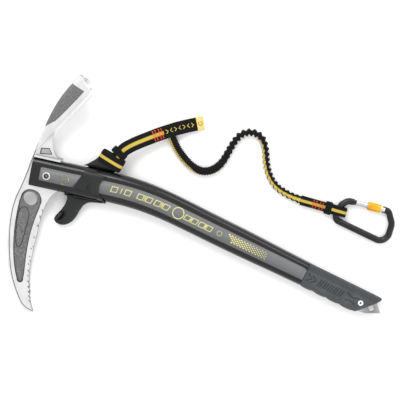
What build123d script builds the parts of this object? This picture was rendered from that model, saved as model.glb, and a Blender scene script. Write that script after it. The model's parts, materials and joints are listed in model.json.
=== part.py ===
"""Technical ice axe with a sliding hand rest, an elastic leash and a locking carabiner.

The axe is drawn in its own plane: X runs from the head along the lower shaft to the spike, Y points to
the adze and Z is across the shaft. It is then laid down on a flat floor, where it rests on the adze's
far corner, the pick's tip and the end of the grip. The leash and the carabiner are drawn on the floor.
The origin is under the middle of the axe's box, with +Z up. All sizes are in millimetres.
"""
from build123d import *
from math import atan2, cos, degrees, radians, sin, tan
import os

os.makedirs("parts", exist_ok=True)

# Shaft: a bent tube with a rounded box section
SHAFT_THICK = 21.0
SHAFT_DEPTH = 38.0
SHAFT_WALL = 1.8
SHAFT_ROUND = 8.5
BEND_ANGLE = 14.0
BEND_RADIUS = 320.0
HEAD_RUN = 105.4
LOW_RUN = 186.5
LOW_DEPTHS = ((0, 35.9), (40, 35.2), (110, 34.0), (155, 31.8), (LOW_RUN, 30.8))
MID_BEND_DEPTH = 37.2
SEAT_DEPTH = 26.0
SEAT_THICK = 17.0
SEAT_ROUND = 6.5
BEND_END_X = 185.5
FIT = 0.05

# Head: one forged plate with pick, adze and tang
PLATE_THICK = 5.6
TANG_RUN = 44.0
EYE_AT = (18.9, -69.0)
EYE_RADIUS = 9.0
HEAD_BACK = ((-0.8, 38.0), (-1.6, 14.0), (-1.9, -9.0), (0.3, -38.0), (1.2, -58.0), (0.6, -75.0),
             (3.6, -96.0), (14.6, -128.5), (34.5, -167.2), (54.0, -189.5), (69.5, -203.2))
PICK_TIP = (83.4, -202.2)
PICK_EDGE = ((78.2, -197.0), (63.8, -171.5), (53.7, -144.6), (46.6, -111.4), (40.6, -80.0), (40.2, -62.0),
             (44.6, -46.3))
TOOTH_STEPS = (7, 13, 19, 25, 32, 46, 60, 79)
NECK_TOOTH_STEPS = (108, 118, 128)
TOOTH_WIDTH = 3.2
POCKET_DEPTH = 0.8
FLANGE_THICK = 2.6
FLANGE_RUN = 35.0
FLANGE_WIDTH = 18.0
WEB_EDGE = ((32.9, -7.3), (28.0, -5.5), (20.4, 0.0), (16.0, 6.3), (12.3, 15.3), (9.5, 28.4), (6.5, 40.0))
WEB_POCKET = ((5.0, -3.6), (14.4, 0.6), (20.4, -5.0), (6.6, -10.6))
# Adze sections: height along Y, crest X, half width, droop of the wings, thickness
ADZE_SECTIONS = ((-14, -0.2, 1.8, 0.4, 2.6), (4, -2.4, 5.2, 3.6, 4.6), (20, -3.2, 8.0, 9.8, 4.6),
                 (36, -3.6, 11.2, 16.2, 4.4), (60, -1.6, 16.6, 22.4, 4.2), (88, 5.2, 23.6, 24.6, 3.8),
                 (104, 11.2, 27.0, 22.0, 1.4))
ADZE_END = 101.5
ADZE_CORNER_DROP = 10.5
ADZE_SPREAD = 27.5
ADZE_POCKET = (2, 3, 4, 5)
ADZE_POCKET_TIP = 0.8
ADZE_RIM = 2.4
ADZE_EDGE_SHARE = 0.8
PICK_POCKET_BACK = ((7.2, -66.0), (8.2, -79.0), (14.4, -105.0), (23.2, -130.0), (33.0, -151.0), (46.5, -171.5))
PICK_POCKET_TIP = (51.8, -174.5)
PICK_POCKET_EDGE = ((54.4, -168.5), (45.8, -143.0), (38.3, -115.6), (34.8, -91.0), (34.2, -68.0))
PICK_POCKET_TOP = (19.5, -56.4)

# Cheeks inside the shaft, and the fastening of the head
CHEEK_START = 1.0
CHEEK_END = 48.0
CHEEK_CLEARANCE = 0.1
BOLT_AT = (20.7, -1.5)
BADGE_AT = (43.0, -1.5)
BOLT_RADIUS = 3.0
BOLT_HEAD_RADIUS = 4.9
BOLT_HEAD_THICK = 1.1
HEX_SOCKET_RADIUS = 2.6
NUT_RADIUS = 4.0
BADGE_RADIUS = 6.5
BADGE_THICK = 0.5

# Grip, spike and plug; the spike, its plug and its rivet are placed from the grip's end
GRIP_THICK = 21.6
GRIP_ROUND = 8.0
GRIP_TOP = 14.8
GRIP_BOTTOM = -13.8
GRIP_BUMP = 2.2
GRIP_BUMP_PITCH = 18.5
GRIP_BUMPS = 4
END_SLANT = 41.2
GRIP_LENGTH = 89.2
GRIP_END_WALL = 3.0
SPIKE_THICK = 4.0
SPIKE_OUTLINE = ((-27.2, -8.5), (-9.2, -8.5), (-8.0, -12.4), (-0.2, -11.7), (4.8, -9.8), (18.8, -2.5),
                 (12.6, 3.4), (8.4, 8.5), (-27.2, 8.5))
SPIKE_HOLE_AT = (5.6, -1.8)
SPIKE_HOLE_SIZE = (9.5, 6.2)
SPIKE_HOLE_TURN = -48.8
PLUG_START = -33.2
RIVET_AT = (-10.7, 0.0)
RIVET_RADIUS = 2.2
RIVET_BORE = 1.4
RIVET_HEAD_RADIUS = 3.3
RIVET_HEAD_THICK = 0.7

# Trigger: a hand rest that slides on the straight head end of the shaft
SLIDE_CLEARANCE = 0.5
COLLAR_WALL = 3.0
COLLAR_OUTLINE_FRONT = ((60.0, 30.0), (66.4, 1.5), (63.4, -16.0), (59.4, -33.0), (53.8, -45.0), (54.0, -56.0))
COLLAR_OUTLINE_BACK = ((108.6, -40.0), (108.0, -29.5), (96.5, -21.0), (92.7, -12.0), (95.0, 0.0), (102.5, 9.0),
                       (103.0, 30.0))
HOOK_THICK = 20.0
HOOK_ROUND = 5.0
HOOK_FRONT = ((56.0, -40.0), (60.6, -51.0), (60.2, -62.2), (57.1, -72.7), (55.2, -80.0))
HOOK_BACK = ((55.2, -80.0), (60.0, -84.0), (68.0, -84.2), (76.0, -78.5), (81.3, -67.0), (82.4, -52.5),
             (86.0, -43.5), (94.0, -38.6), (105.5, -34.5))
NECK_THICK = 11.0
NECK_ROUND = 3.0
NECK_OUTLINE = ((58.5, -3.0), (65.8, 5.6), (71.3, 13.4), (78.0, 30.0), (101.5, 27.5), (104.2, 18.0), (103.5, 10.0),
                (99.5, 4.0))
WINDOW = ((77.0, -13.5), (87.5, -31.5), (81.0, -33.5))
INSERT_FROM = (63.6, -66.5)
INSERT_TO = (59.0, -78.5)
INSERT_WIDTH = 2.6
INSERT_SINK = 0.6
LINER_THICK = 1.2
LINER_RUN = (58.0, 88.0)
LINER_WIDTH = 11.0

# Leash
WEB_WIDTH = 17.0
WEB_THICK = 2.4
HITCH_OUTLINE = ((69.0, 14.6), (75.6, 31.5), (103.9, 28.6), (106.8, 19.0), (106.0, 11.0))
STRAP_FOOT = (97.0, 37.0, 2.0)
STRAP_SLOPE = (-0.0804, -0.236)
STRAP_ROUTE = ((-0.5, -14.0), (0.0, 0.0), (8.2, 12.6), (21.3, 27.0), (36.4, 42.8), (58.4, 62.9), (79.0, 77.7))
LABEL_LENGTH = 22.0
LABEL_THICK = 0.5
TACK_STEPS = (-9.5, -6.0, -1.0, 2.5)
TACK_SIZE = (1.1, 12.0)
TACK_THICK = 0.35
ELASTIC_ROUTE = ((139.6, 88.6, 6.0), (145.6, 80.4, 5.6), (156.5, 70.6, 5.4), (169.5, 63.4, 5.4),
                 (184.5, 57.6, 5.4), (199.5, 57.2, 5.4), (211.6, 66.0, 5.4), (217.4, 79.8, 5.4),
                 (218.0, 95.2, 5.4), (218.9, 110.4, 5.4), (223.0, 123.2, 5.4), (233.8, 131.0, 5.4),
                 (247.4, 130.4, 5.4), (257.8, 119.8, 5.4), (265.8, 105.0, 5.4), (275.6, 92.0, 5.4),
                 (289.8, 82.4, 5.4), (305.0, 79.8, 5.4), (320.0, 79.9, 5.4), (334.0, 82.0, 5.4))
ELASTIC_DIAMETER = 10.4
END_WEB_WIDTH = 12.0
END_WEB_PLY = 1.6
END_WEB_THICK = 5.0
TUNNEL_AT = (375.2, 89.6)
TUNNEL_LENGTH = 17.0
TUNNEL_CLEARANCE = 0.45
END_TACK_STEPS = (-33.0, -29.5, -24.5, -21.0)

# Carabiner
BAR_RADIUS = 4.1
NOSE_NECK = 2.8
GATE_RADIUS = 3.25
GATE_PIN_RADIUS = 1.1
SLEEVE_RADIUS = 5.2
SLEEVE_LENGTH = 16.5
SLEEVE_CLEARANCE = 0.08
SLEEVE_BACK = 2.2
SLEEVE_KNURLS = 18
KNURL_RADIUS = 0.45
GATE_GAP = 0.4
GATE_BORE = 1.5
TONGUE_THICK = 2.6
TONGUE_LENGTH = 4.6
PIVOT_CLEARANCE = 0.05
GATE_LENGTH = 33.5
HINGE_AT = (423.3, 115.6)
GATE_TURN = 192.0
FRAME_ROUTE = ((380.2, 106.4), (374.6, 98.0), (375.0, 77.6), (440.5, 78.2), (445.6, 88.6), (442.4, 104.6),
               (431.4, 117.3))
FRAME_ROUNDS = (10.0, 9.0, 6.3, 10.5, 11.5, 13.0, 6.0)
BAR_HEIGHTS = ((375.2, 89.6, 6.15), (413.1, 113.4, 5.45), (445.0, 89.5, 4.35))

# The origin, under the middle of the lying axe
ORIGIN_X = 238.4
ORIGIN_Y = -40.8

bend = radians(BEND_ANGLE)
along = Vector(cos(bend), sin(bend))
across = Vector(-sin(bend), cos(bend))
bend_start = Vector(BEND_END_X - BEND_RADIUS * sin(bend), -BEND_RADIUS * (1 - cos(bend)))
head_end = bend_start - along * HEAD_RUN
low_end = Vector(BEND_END_X + LOW_RUN, 0)
grip_end_x = low_end.X + GRIP_LENGTH
end_plane = Plane(origin=(grip_end_x, 0, 0))
end_normal = Vector(cos(radians(END_SLANT)), -sin(radians(END_SLANT)))
ON_FLOOR = Location((-ORIGIN_X, -ORIGIN_Y, 0))


def head_point(run, offset):
    """Point on the straight head end, at a run from the tube's end and an offset toward the adze."""
    return head_end + along * run + across * offset


def bend_point(share, offset):
    """Point in the bend, at a share of its turn and an offset toward the adze."""
    turn = bend * (1 - share)
    radius = BEND_RADIUS + offset
    return Vector(BEND_END_X - radius * sin(turn), radius * cos(turn) - BEND_RADIUS)


def shaft_outline(inset, start_run, end_x):
    """Side outline of the shaft's tube, inset by a wall: points of its top line and of its bottom line."""
    sides = []
    for side in (1, -1):
        points = [bend_point(0.5, side * (MID_BEND_DEPTH / 2 - inset))]
        points += [Vector(BEND_END_X + x, side * (depth / 2 - inset)) for x, depth in LOW_DEPTHS]
        points[-1] = Vector(end_x, points[-1].Y)
        offset = side * (SHAFT_DEPTH / 2 - inset)
        sides.append((head_point(start_run, offset), head_point(HEAD_RUN, offset), points))
    return sides


def shaft_sketch(inset, start_run, end_x):
    """The shaft's side outline as a face, inset by a wall."""
    (top_start, top_bend, top), (low_start, low_bend, low) = shaft_outline(inset, start_run, end_x)
    with BuildSketch() as outline:
        with BuildLine():
            Line(top_start, top_bend)
            Spline(top_bend, *top, tangents=[along, (1, -0.02)])
            Line(top[-1], low[-1])
            Spline(low_bend, *low, tangents=[along, (1, 0.02)])
            Line(low_bend, low_start)
            Line(low_start, top_start)
        make_face()
    return outline.sketch


def cross_plane(run):
    """Plane across the straight head end of the shaft: its X points toward the adze."""
    return Plane(origin=head_point(run, 0), x_dir=across, z_dir=along)


def side_plane(height):
    """Plane beside the shaft's head end: X along the shaft, Y toward the adze."""
    return Plane(origin=(head_end.X, head_end.Y, height), x_dir=along, z_dir=(0, 0, 1))


def long_edges(part, half_thick):
    """Edges of a plate that lie in its two faces."""
    faces = part.faces().filter_by(Axis.Z).sort_by(Axis.Z)
    return [edge for face in (faces[0], faces[-1]) for edge in face.outer_wire().edges()
            if abs(abs(edge.center().Z) - half_thick) < 0.01]


def beyond_end(wall):
    """Block beyond the grip's slanted end, or beyond a wall inside it."""
    with BuildSketch() as outline:
        with Locations(Vector(grip_end_x, 0) + end_normal * (50 - wall)):
            Rectangle(100, 100, rotation=-END_SLANT)
    return extrude(outline.sketch, amount=20, both=True, mode=Mode.PRIVATE)


def disc_hole(plane, centre, radius, depth):
    """Cylinder on a plane at a centre, for a pin, a head or its hole."""
    with BuildSketch(plane) as outline:
        with Locations(centre):
            Circle(radius)
    return extrude(outline.sketch, amount=depth, mode=Mode.PRIVATE)


def adze_section(height, crest, half_width, droop, thick, edge):
    """Arched section of the adze at a height: two parabolas joined by its two side edges."""
    wing = crest + droop
    with BuildSketch(Plane(origin=(0, height, 0), x_dir=(1, 0, 0), z_dir=(0, 1, 0))) as face:
        with BuildLine():
            Bezier((wing, half_width), (crest - droop, 0), (wing, -half_width))
            Line((wing, -half_width), (wing + edge, -half_width))
            Bezier((wing + edge, -half_width), (crest - droop + 2 * thick - edge, 0), (wing + edge, half_width))
            Line((wing + edge, half_width), (wing, half_width))
        make_face()
    return face.sketch


def save(builder, name, place):
    """Name a finished piece and write it in its place."""
    builder.part.label = name
    placed = builder.part.moved(place)
    placed.label = name
    export_step(placed, f"parts/{name}.step")


# Shaft tube: main tube, seat of the grip, hollow, and a fork at the head end
with BuildPart() as shaft_tube:
    extrude(shaft_sketch(0, 0, low_end.X), amount=SHAFT_THICK / 2, both=True)
    rims = [edge for edge in long_edges(shaft_tube.part, SHAFT_THICK / 2) if edge.length > 40]
    fillet(rims, SHAFT_ROUND)
    with BuildSketch(Plane.YZ.offset(low_end.X - 3)):
        RectangleRounded(SEAT_DEPTH, SEAT_THICK, SEAT_ROUND)
    extrude(amount=100)
    cavity = extrude(shaft_sketch(SHAFT_WALL, -1, low_end.X - 3), amount=SHAFT_THICK / 2 - SHAFT_WALL, both=True,
                     mode=Mode.PRIVATE)
    cavity_rims = [edge for edge in long_edges(cavity, SHAFT_THICK / 2 - SHAFT_WALL) if edge.length > 40]
    add(cavity.fillet(SHAFT_ROUND - SHAFT_WALL, cavity_rims), mode=Mode.SUBTRACT)
    with BuildSketch(Plane.YZ.offset(low_end.X - 5)):
        RectangleRounded(SEAT_DEPTH - 2 * SHAFT_WALL, SEAT_THICK - 2 * SHAFT_WALL, SEAT_ROUND - SHAFT_WALL)
    extrude(amount=110, mode=Mode.SUBTRACT)
    add(beyond_end(GRIP_END_WALL), mode=Mode.SUBTRACT)
    with BuildSketch(side_plane(0)):
        with Locations((TANG_RUN / 2 - 1, 0)):
            Rectangle(TANG_RUN + 2 + 2 * FIT, SHAFT_DEPTH + 10)
    extrude(amount=PLATE_THICK / 2 + FIT, both=True, mode=Mode.SUBTRACT)
    add(disc_hole(side_plane(0), BOLT_AT, BOLT_RADIUS + FIT, SHAFT_THICK), mode=Mode.SUBTRACT)
    add(disc_hole(side_plane(0), BOLT_AT, NUT_RADIUS + FIT, -SHAFT_THICK), mode=Mode.SUBTRACT)
    for side in (1, -1):
        floor = side_plane(side * (SHAFT_THICK / 2 - BADGE_THICK))
        add(disc_hole(floor, BADGE_AT, BADGE_RADIUS + FIT, side * 5), mode=Mode.SUBTRACT)
    add(disc_hole(end_plane.offset(-20), RIVET_AT, RIVET_RADIUS + FIT, 40), mode=Mode.SUBTRACT)

# Head forging: plate with pick, tang and web, then the arched adze and the flange on the shaft
with BuildPart() as head_forging:
    with BuildSketch():
        with BuildLine():
            Spline(*HEAD_BACK)
            Line(HEAD_BACK[-1], PICK_TIP)
            Line(PICK_TIP, PICK_EDGE[0])
            inner_edge = Spline(*PICK_EDGE)
            Line(PICK_EDGE[-1], head_point(TANG_RUN - 7, -SHAFT_DEPTH / 2))
            Line(head_point(TANG_RUN - 7, -SHAFT_DEPTH / 2), head_point(TANG_RUN, -SHAFT_DEPTH / 2))
            Line(head_point(TANG_RUN, -SHAFT_DEPTH / 2), head_point(TANG_RUN, SHAFT_DEPTH / 2))
            Line(head_point(TANG_RUN, SHAFT_DEPTH / 2), head_point(FLANGE_RUN - 2, SHAFT_DEPTH / 2))
            Line(head_point(FLANGE_RUN - 2, SHAFT_DEPTH / 2), WEB_EDGE[0])
            Spline(*WEB_EDGE)
            Line(WEB_EDGE[-1], HEAD_BACK[0])
        make_face()
        for step in TOOTH_STEPS + NECK_TOOTH_STEPS:
            share = step / inner_edge.length
            with Locations(Location(inner_edge @ share, inner_edge.tangent_angle_at(share))):
                Triangle(a=TOOTH_WIDTH * 1.6, b=TOOTH_WIDTH, C=90, mode=Mode.SUBTRACT)
        with Locations(EYE_AT):
            Circle(EYE_RADIUS, mode=Mode.SUBTRACT)
    extrude(amount=PLATE_THICK / 2, both=True)
    loft([adze_section(*values, ADZE_EDGE_SHARE * values[-1]) for values in ADZE_SECTIONS])
    with BuildSketch(Plane.ZY):
        with BuildLine():
            Polyline((ADZE_SPREAD, ADZE_END - ADZE_CORNER_DROP), (ADZE_SPREAD, 2 * ADZE_END),
                     (-ADZE_SPREAD, 2 * ADZE_END), (-ADZE_SPREAD, ADZE_END - ADZE_CORNER_DROP))
            ThreePointArc((-ADZE_SPREAD, ADZE_END - ADZE_CORNER_DROP), (0, ADZE_END),
                          (ADZE_SPREAD, ADZE_END - ADZE_CORNER_DROP))
        make_face()
    extrude(amount=2 * ADZE_SPREAD, both=True, mode=Mode.SUBTRACT)
    with BuildSketch(side_plane(0)):
        with Locations(((1 + FLANGE_RUN) / 2, (SHAFT_DEPTH + FLANGE_THICK) / 2)):
            Rectangle(FLANGE_RUN - 1, FLANGE_THICK)
    extrude(amount=FLANGE_WIDTH / 2, both=True)
    add(disc_hole(side_plane(-10), BOLT_AT, BOLT_RADIUS + FIT, 20), mode=Mode.SUBTRACT)
    pocket = []
    for index in ADZE_POCKET:
        height, crest, half_width, droop, thick = ADZE_SECTIONS[index]
        inner_width = ADZE_POCKET_TIP if index == ADZE_POCKET[0] else half_width - ADZE_RIM
        cover = POCKET_DEPTH + 2
        pocket.append(adze_section(height, crest - 2, inner_width, droop * (inner_width / half_width) ** 2,
                                   cover, cover))
    add(loft(pocket, mode=Mode.PRIVATE), mode=Mode.SUBTRACT)
    for side in (1, -1):
        with BuildSketch(Plane.XY.offset(side * (PLATE_THICK / 2 - POCKET_DEPTH))):
            with BuildLine():
                Spline(*PICK_POCKET_BACK)
                ThreePointArc(PICK_POCKET_BACK[-1], PICK_POCKET_TIP, PICK_POCKET_EDGE[0])
                Spline(*PICK_POCKET_EDGE)
                ThreePointArc(PICK_POCKET_EDGE[-1], PICK_POCKET_TOP, PICK_POCKET_BACK[0])
            make_face()
            with BuildLine():
                Polyline(*WEB_POCKET, close=True)
            make_face()
        extrude(amount=side * PLATE_THICK, mode=Mode.SUBTRACT)

# How the axe lies: its floor goes through the adze's far corner, the pick's tip and the grip's low edge
adze_corner = head_forging.vertices().sort_by(Axis.Z)[:2].sort_by(Axis.X)[-1]
rest_a = Vector(adze_corner.X, adze_corner.Y, adze_corner.Z)
rest_b = Vector(*PICK_TIP, -PLATE_THICK / 2)
grip_low_y = GRIP_BOTTOM - GRIP_BUMP + GRIP_ROUND
rest_c = Vector(grip_end_x + grip_low_y * tan(radians(END_SLANT)), grip_low_y, -GRIP_THICK / 2)
floor_normal = (rest_b - rest_a).cross(rest_c - rest_a).normalized()
floor_x = (Vector(1, 0, 0) - floor_normal * floor_normal.X).normalized()
floor_foot = Vector(ORIGIN_X, ORIGIN_Y, 0)
floor_foot -= floor_normal * (floor_foot - rest_a).dot(floor_normal)
LYING = Plane(origin=floor_foot, x_dir=floor_x, z_dir=floor_normal).location.inverse()
save(head_forging, "head_forging", LYING)
save(shaft_tube, "shaft_tube", LYING)


# Cheeks: packing on both sides of the tang, inside the tube
for side, name in ((1, "head_cheek_near"), (-1, "head_cheek_far")):
    inner_thick = SHAFT_THICK - 2 * (SHAFT_WALL + CHEEK_CLEARANCE)
    with BuildPart() as head_cheek:
        with BuildSketch(cross_plane(CHEEK_START)):
            RectangleRounded(SHAFT_DEPTH - 2 * (SHAFT_WALL + CHEEK_CLEARANCE), inner_thick,
                             SHAFT_ROUND - SHAFT_WALL)
        extrude(amount=CHEEK_END - CHEEK_START)
        split(bisect_by=Plane.XY.offset(side * (PLATE_THICK / 2 + FIT)), keep=Keep.TOP if side > 0 else Keep.BOTTOM)
        radius = BOLT_RADIUS if side > 0 else NUT_RADIUS
        add(disc_hole(side_plane(-SHAFT_THICK), BOLT_AT, radius + FIT, 2 * SHAFT_THICK), mode=Mode.SUBTRACT)
    save(head_cheek, name, LYING)

# Head bolt with a hexagon socket, and its barrel nut on the far side
shaft_side = SHAFT_THICK / 2
nut_end = PLATE_THICK / 2 + 2 * FIT
with BuildPart() as head_bolt:
    add(disc_hole(side_plane(-shaft_side + 2), BOLT_AT, BOLT_RADIUS, 2 * shaft_side - 2))
    add(disc_hole(side_plane(shaft_side), BOLT_AT, BOLT_HEAD_RADIUS, BOLT_HEAD_THICK))
    chamfer(head_bolt.faces().sort_by(Axis.Z)[-1].edges(), 0.3)
    with BuildSketch(side_plane(shaft_side + BOLT_HEAD_THICK)):
        with Locations(BOLT_AT):
            RegularPolygon(HEX_SOCKET_RADIUS, 6)
    extrude(amount=-3, mode=Mode.SUBTRACT)
save(head_bolt, "head_bolt", LYING)

with BuildPart() as head_bolt_nut:
    add(disc_hole(side_plane(-shaft_side), BOLT_AT, NUT_RADIUS, shaft_side - nut_end))
    add(disc_hole(side_plane(-shaft_side), BOLT_AT, BOLT_HEAD_RADIUS, -BOLT_HEAD_THICK))
    chamfer(head_bolt_nut.faces().sort_by(Axis.Z)[0].edges(), 0.3)
    add(disc_hole(side_plane(-shaft_side + 1), BOLT_AT, BOLT_RADIUS + FIT, shaft_side), mode=Mode.SUBTRACT)
save(head_bolt_nut, "head_bolt_nut", LYING)

for side, name in ((1, "rating_badge_near"), (-1, "rating_badge_far")):
    with BuildPart() as rating_badge:
        add(disc_hole(side_plane(side * (shaft_side - BADGE_THICK)), BADGE_AT, BADGE_RADIUS, side * BADGE_THICK))
    save(rating_badge, name, LYING)

# Spike plate, its plug inside the seat, the grip over the seat and the tubular rivet through all four
with BuildSketch(end_plane) as spike_outline:
    with BuildLine():
        Polyline(*SPIKE_OUTLINE, close=True)
    make_face()

with BuildPart() as spike:
    extrude(spike_outline.sketch, amount=SPIKE_THICK / 2, both=True)
    with BuildSketch(end_plane):
        with Locations(Location(SPIKE_HOLE_AT, SPIKE_HOLE_TURN)):
            SlotOverall(*SPIKE_HOLE_SIZE)
    extrude(amount=SPIKE_THICK, both=True, mode=Mode.SUBTRACT)
    add(disc_hole(end_plane.offset(-20), RIVET_AT, RIVET_RADIUS + FIT, 40), mode=Mode.SUBTRACT)
save(spike, "spike", LYING)

with BuildPart() as spike_plug:
    inside = 2 * (SHAFT_WALL + CHEEK_CLEARANCE)
    with BuildSketch(Plane.YZ.offset(grip_end_x + PLUG_START)):
        RectangleRounded(SEAT_DEPTH - inside, SEAT_THICK - inside, SEAT_ROUND - SHAFT_WALL)
    extrude(amount=60)
    add(beyond_end(GRIP_END_WALL), mode=Mode.SUBTRACT)
    extrude(offset(spike_outline.sketch, FIT, mode=Mode.PRIVATE), amount=SPIKE_THICK / 2 + FIT, both=True,
            mode=Mode.SUBTRACT)
    add(disc_hole(end_plane.offset(-20), RIVET_AT, RIVET_RADIUS + FIT, 40), mode=Mode.SUBTRACT)
save(spike_plug, "spike_plug", LYING)

with BuildPart() as grip_sleeve:
    grip_middle = (GRIP_TOP + GRIP_BOTTOM - GRIP_BUMP) / 2
    with BuildSketch(Plane.YZ.offset(low_end.X)):
        with Locations((grip_middle, 0)):
            RectangleRounded(GRIP_TOP - GRIP_BOTTOM + GRIP_BUMP, GRIP_THICK, GRIP_ROUND)
    extrude(amount=110)
    with BuildSketch():
        with BuildLine():
            Polyline((grip_end_x + 30, GRIP_BOTTOM), (grip_end_x + 30, 30), (low_end.X, 30), (low_end.X, GRIP_BOTTOM))
            for bump in range(GRIP_BUMPS):
                bump_start = low_end.X + bump * GRIP_BUMP_PITCH
                ThreePointArc((bump_start, GRIP_BOTTOM),
                              (bump_start + GRIP_BUMP_PITCH / 2, GRIP_BOTTOM - GRIP_BUMP),
                              (bump_start + GRIP_BUMP_PITCH, GRIP_BOTTOM))
            Line((low_end.X + GRIP_BUMPS * GRIP_BUMP_PITCH, GRIP_BOTTOM),
                 (grip_end_x + 30, GRIP_BOTTOM))
        make_face()
    extrude(amount=GRIP_THICK, both=True, mode=Mode.INTERSECT)
    add(beyond_end(0), mode=Mode.SUBTRACT)
    with BuildSketch(Plane.YZ.offset(low_end.X - 5)):
        RectangleRounded(SEAT_DEPTH, SEAT_THICK, SEAT_ROUND)
    seat_space = extrude(amount=110, mode=Mode.PRIVATE)
    add(seat_space - beyond_end(GRIP_END_WALL), mode=Mode.SUBTRACT)
    extrude(offset(spike_outline.sketch, FIT, mode=Mode.PRIVATE), amount=SPIKE_THICK / 2 + FIT, both=True,
            mode=Mode.SUBTRACT)
    add(disc_hole(end_plane.offset(-20), RIVET_AT, RIVET_RADIUS + FIT, 40), mode=Mode.SUBTRACT)
    for side in (1, -1):
        seat = end_plane.offset(side * (GRIP_THICK / 2 - RIVET_HEAD_THICK))
        add(disc_hole(seat, RIVET_AT, RIVET_HEAD_RADIUS + FIT, side * 5), mode=Mode.SUBTRACT)
save(grip_sleeve, "grip_sleeve", LYING)

with BuildPart() as spike_rivet:
    rivet_half = GRIP_THICK / 2 - RIVET_HEAD_THICK
    add(disc_hole(end_plane.offset(-rivet_half), RIVET_AT, RIVET_RADIUS, 2 * rivet_half))
    add(disc_hole(end_plane.offset(rivet_half), RIVET_AT, RIVET_HEAD_RADIUS, RIVET_HEAD_THICK))
    add(disc_hole(end_plane.offset(-rivet_half), RIVET_AT, RIVET_HEAD_RADIUS, -RIVET_HEAD_THICK))
    add(disc_hole(end_plane.offset(-20), RIVET_AT, RIVET_BORE, 40), mode=Mode.SUBTRACT)
save(spike_rivet, "spike_rivet", LYING)


# Trigger: collar round the shaft, hook below and neck above, with the shaft's bore through it
def closed_curve(front, back):
    """Face between two smooth curves joined end to end."""
    with BuildSketch() as outline:
        with BuildLine():
            Spline(*front)
            Line(front[-1], back[0])
            Spline(*back)
            Line(back[-1], front[0])
        make_face()
    return outline.sketch


collar_grow = 2 * (SLIDE_CLEARANCE + COLLAR_WALL)
with BuildPart() as trigger_body:
    with BuildSketch(cross_plane(30)):
        RectangleRounded(SHAFT_DEPTH + collar_grow, SHAFT_THICK + collar_grow,
                         SHAFT_ROUND + collar_grow / 2)
    extrude(amount=95)
    extrude(closed_curve(COLLAR_OUTLINE_FRONT, COLLAR_OUTLINE_BACK), amount=30, both=True, mode=Mode.INTERSECT)
    with BuildSketch() as hook_outline:
        with BuildLine():
            Spline(*HOOK_FRONT)
            Spline(*HOOK_BACK)
            Polyline(HOOK_BACK[-1], (98.0, -25.0), (66.0, -30.0), HOOK_FRONT[0])
        make_face()
    hook = extrude(hook_outline.sketch, amount=HOOK_THICK / 2, both=True, mode=Mode.PRIVATE)
    hook_rims = [edge for edge in long_edges(hook, HOOK_THICK / 2) if edge.length > 30]
    add(hook.fillet(HOOK_ROUND, hook_rims))
    with BuildSketch() as neck_outline:
        with BuildLine():
            Polyline(*NECK_OUTLINE, close=True)
        make_face()
    neck = extrude(neck_outline.sketch, amount=NECK_THICK / 2, both=True, mode=Mode.PRIVATE)
    neck = neck.fillet(NECK_ROUND, long_edges(neck, NECK_THICK / 2))
    add(neck)
    with BuildSketch(cross_plane(10)):
        RectangleRounded(SHAFT_DEPTH + 2 * SLIDE_CLEARANCE, SHAFT_THICK + 2 * SLIDE_CLEARANCE,
                         SHAFT_ROUND + SLIDE_CLEARANCE)
    extrude(amount=130, mode=Mode.SUBTRACT)
    with BuildSketch():
        with BuildLine():
            Polyline(*WINDOW, close=True)
        make_face()
        with Locations((Vector(*INSERT_FROM) + Vector(*INSERT_TO)) / 2):
            insert_run = Vector(*INSERT_TO) - Vector(*INSERT_FROM)
            SlotOverall(insert_run.length, INSERT_WIDTH + 2 * FIT,
                        rotation=degrees(atan2(insert_run.Y, insert_run.X)))
    extrude(amount=30, both=True, mode=Mode.SUBTRACT)
    liner_side = -(SHAFT_DEPTH / 2 + SLIDE_CLEARANCE)
    liner_middle = (sum(LINER_RUN) / 2, liner_side - LINER_THICK / 2 + SLIDE_CLEARANCE / 4)
    with BuildSketch(side_plane(-LINER_WIDTH / 2 - FIT)):
        with Locations(liner_middle):
            Rectangle(LINER_RUN[1] - LINER_RUN[0] + 2 * FIT, LINER_THICK + SLIDE_CLEARANCE / 2 + 2 * FIT)
    extrude(amount=LINER_WIDTH + 2 * FIT, mode=Mode.SUBTRACT)
save(trigger_body, "trigger_body", LYING)

with BuildPart() as trigger_insert:
    with BuildSketch():
        with Locations((Vector(*INSERT_FROM) + Vector(*INSERT_TO)) / 2):
            SlotOverall(insert_run.length - 2 * FIT, INSERT_WIDTH,
                        rotation=degrees(atan2(insert_run.Y, insert_run.X)))
    extrude(amount=HOOK_THICK / 2 - INSERT_SINK, both=True)
save(trigger_insert, "trigger_insert", LYING)

with BuildPart() as trigger_liner:
    with BuildSketch(side_plane(-LINER_WIDTH / 2)):
        with Locations(liner_middle):
            Rectangle(LINER_RUN[1] - LINER_RUN[0], LINER_THICK + SLIDE_CLEARANCE / 2)
    extrude(amount=LINER_WIDTH)
save(trigger_liner, "trigger_liner", LYING)


# Webbing: hitch round the neck and tab, with its label and its rows of stitching
def swept_path(points, radii):
    """Path of straight runs joined by tangent arcs."""
    with BuildLine() as path:
        FilletPolyline(*points, radius=radii)
    return path.wire()


def cord_radii(points):
    """Largest arcs that the runs beside each corner allow."""
    radii = []
    for before, corner, after in zip(points, points[1:], points[2:]):
        shorter = min((corner - before).length, (after - corner).length)
        turn = radians((corner - before).get_angle(after - corner))
        radii.append(0.45 * shorter / tan(turn / 2))
    return radii


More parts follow.
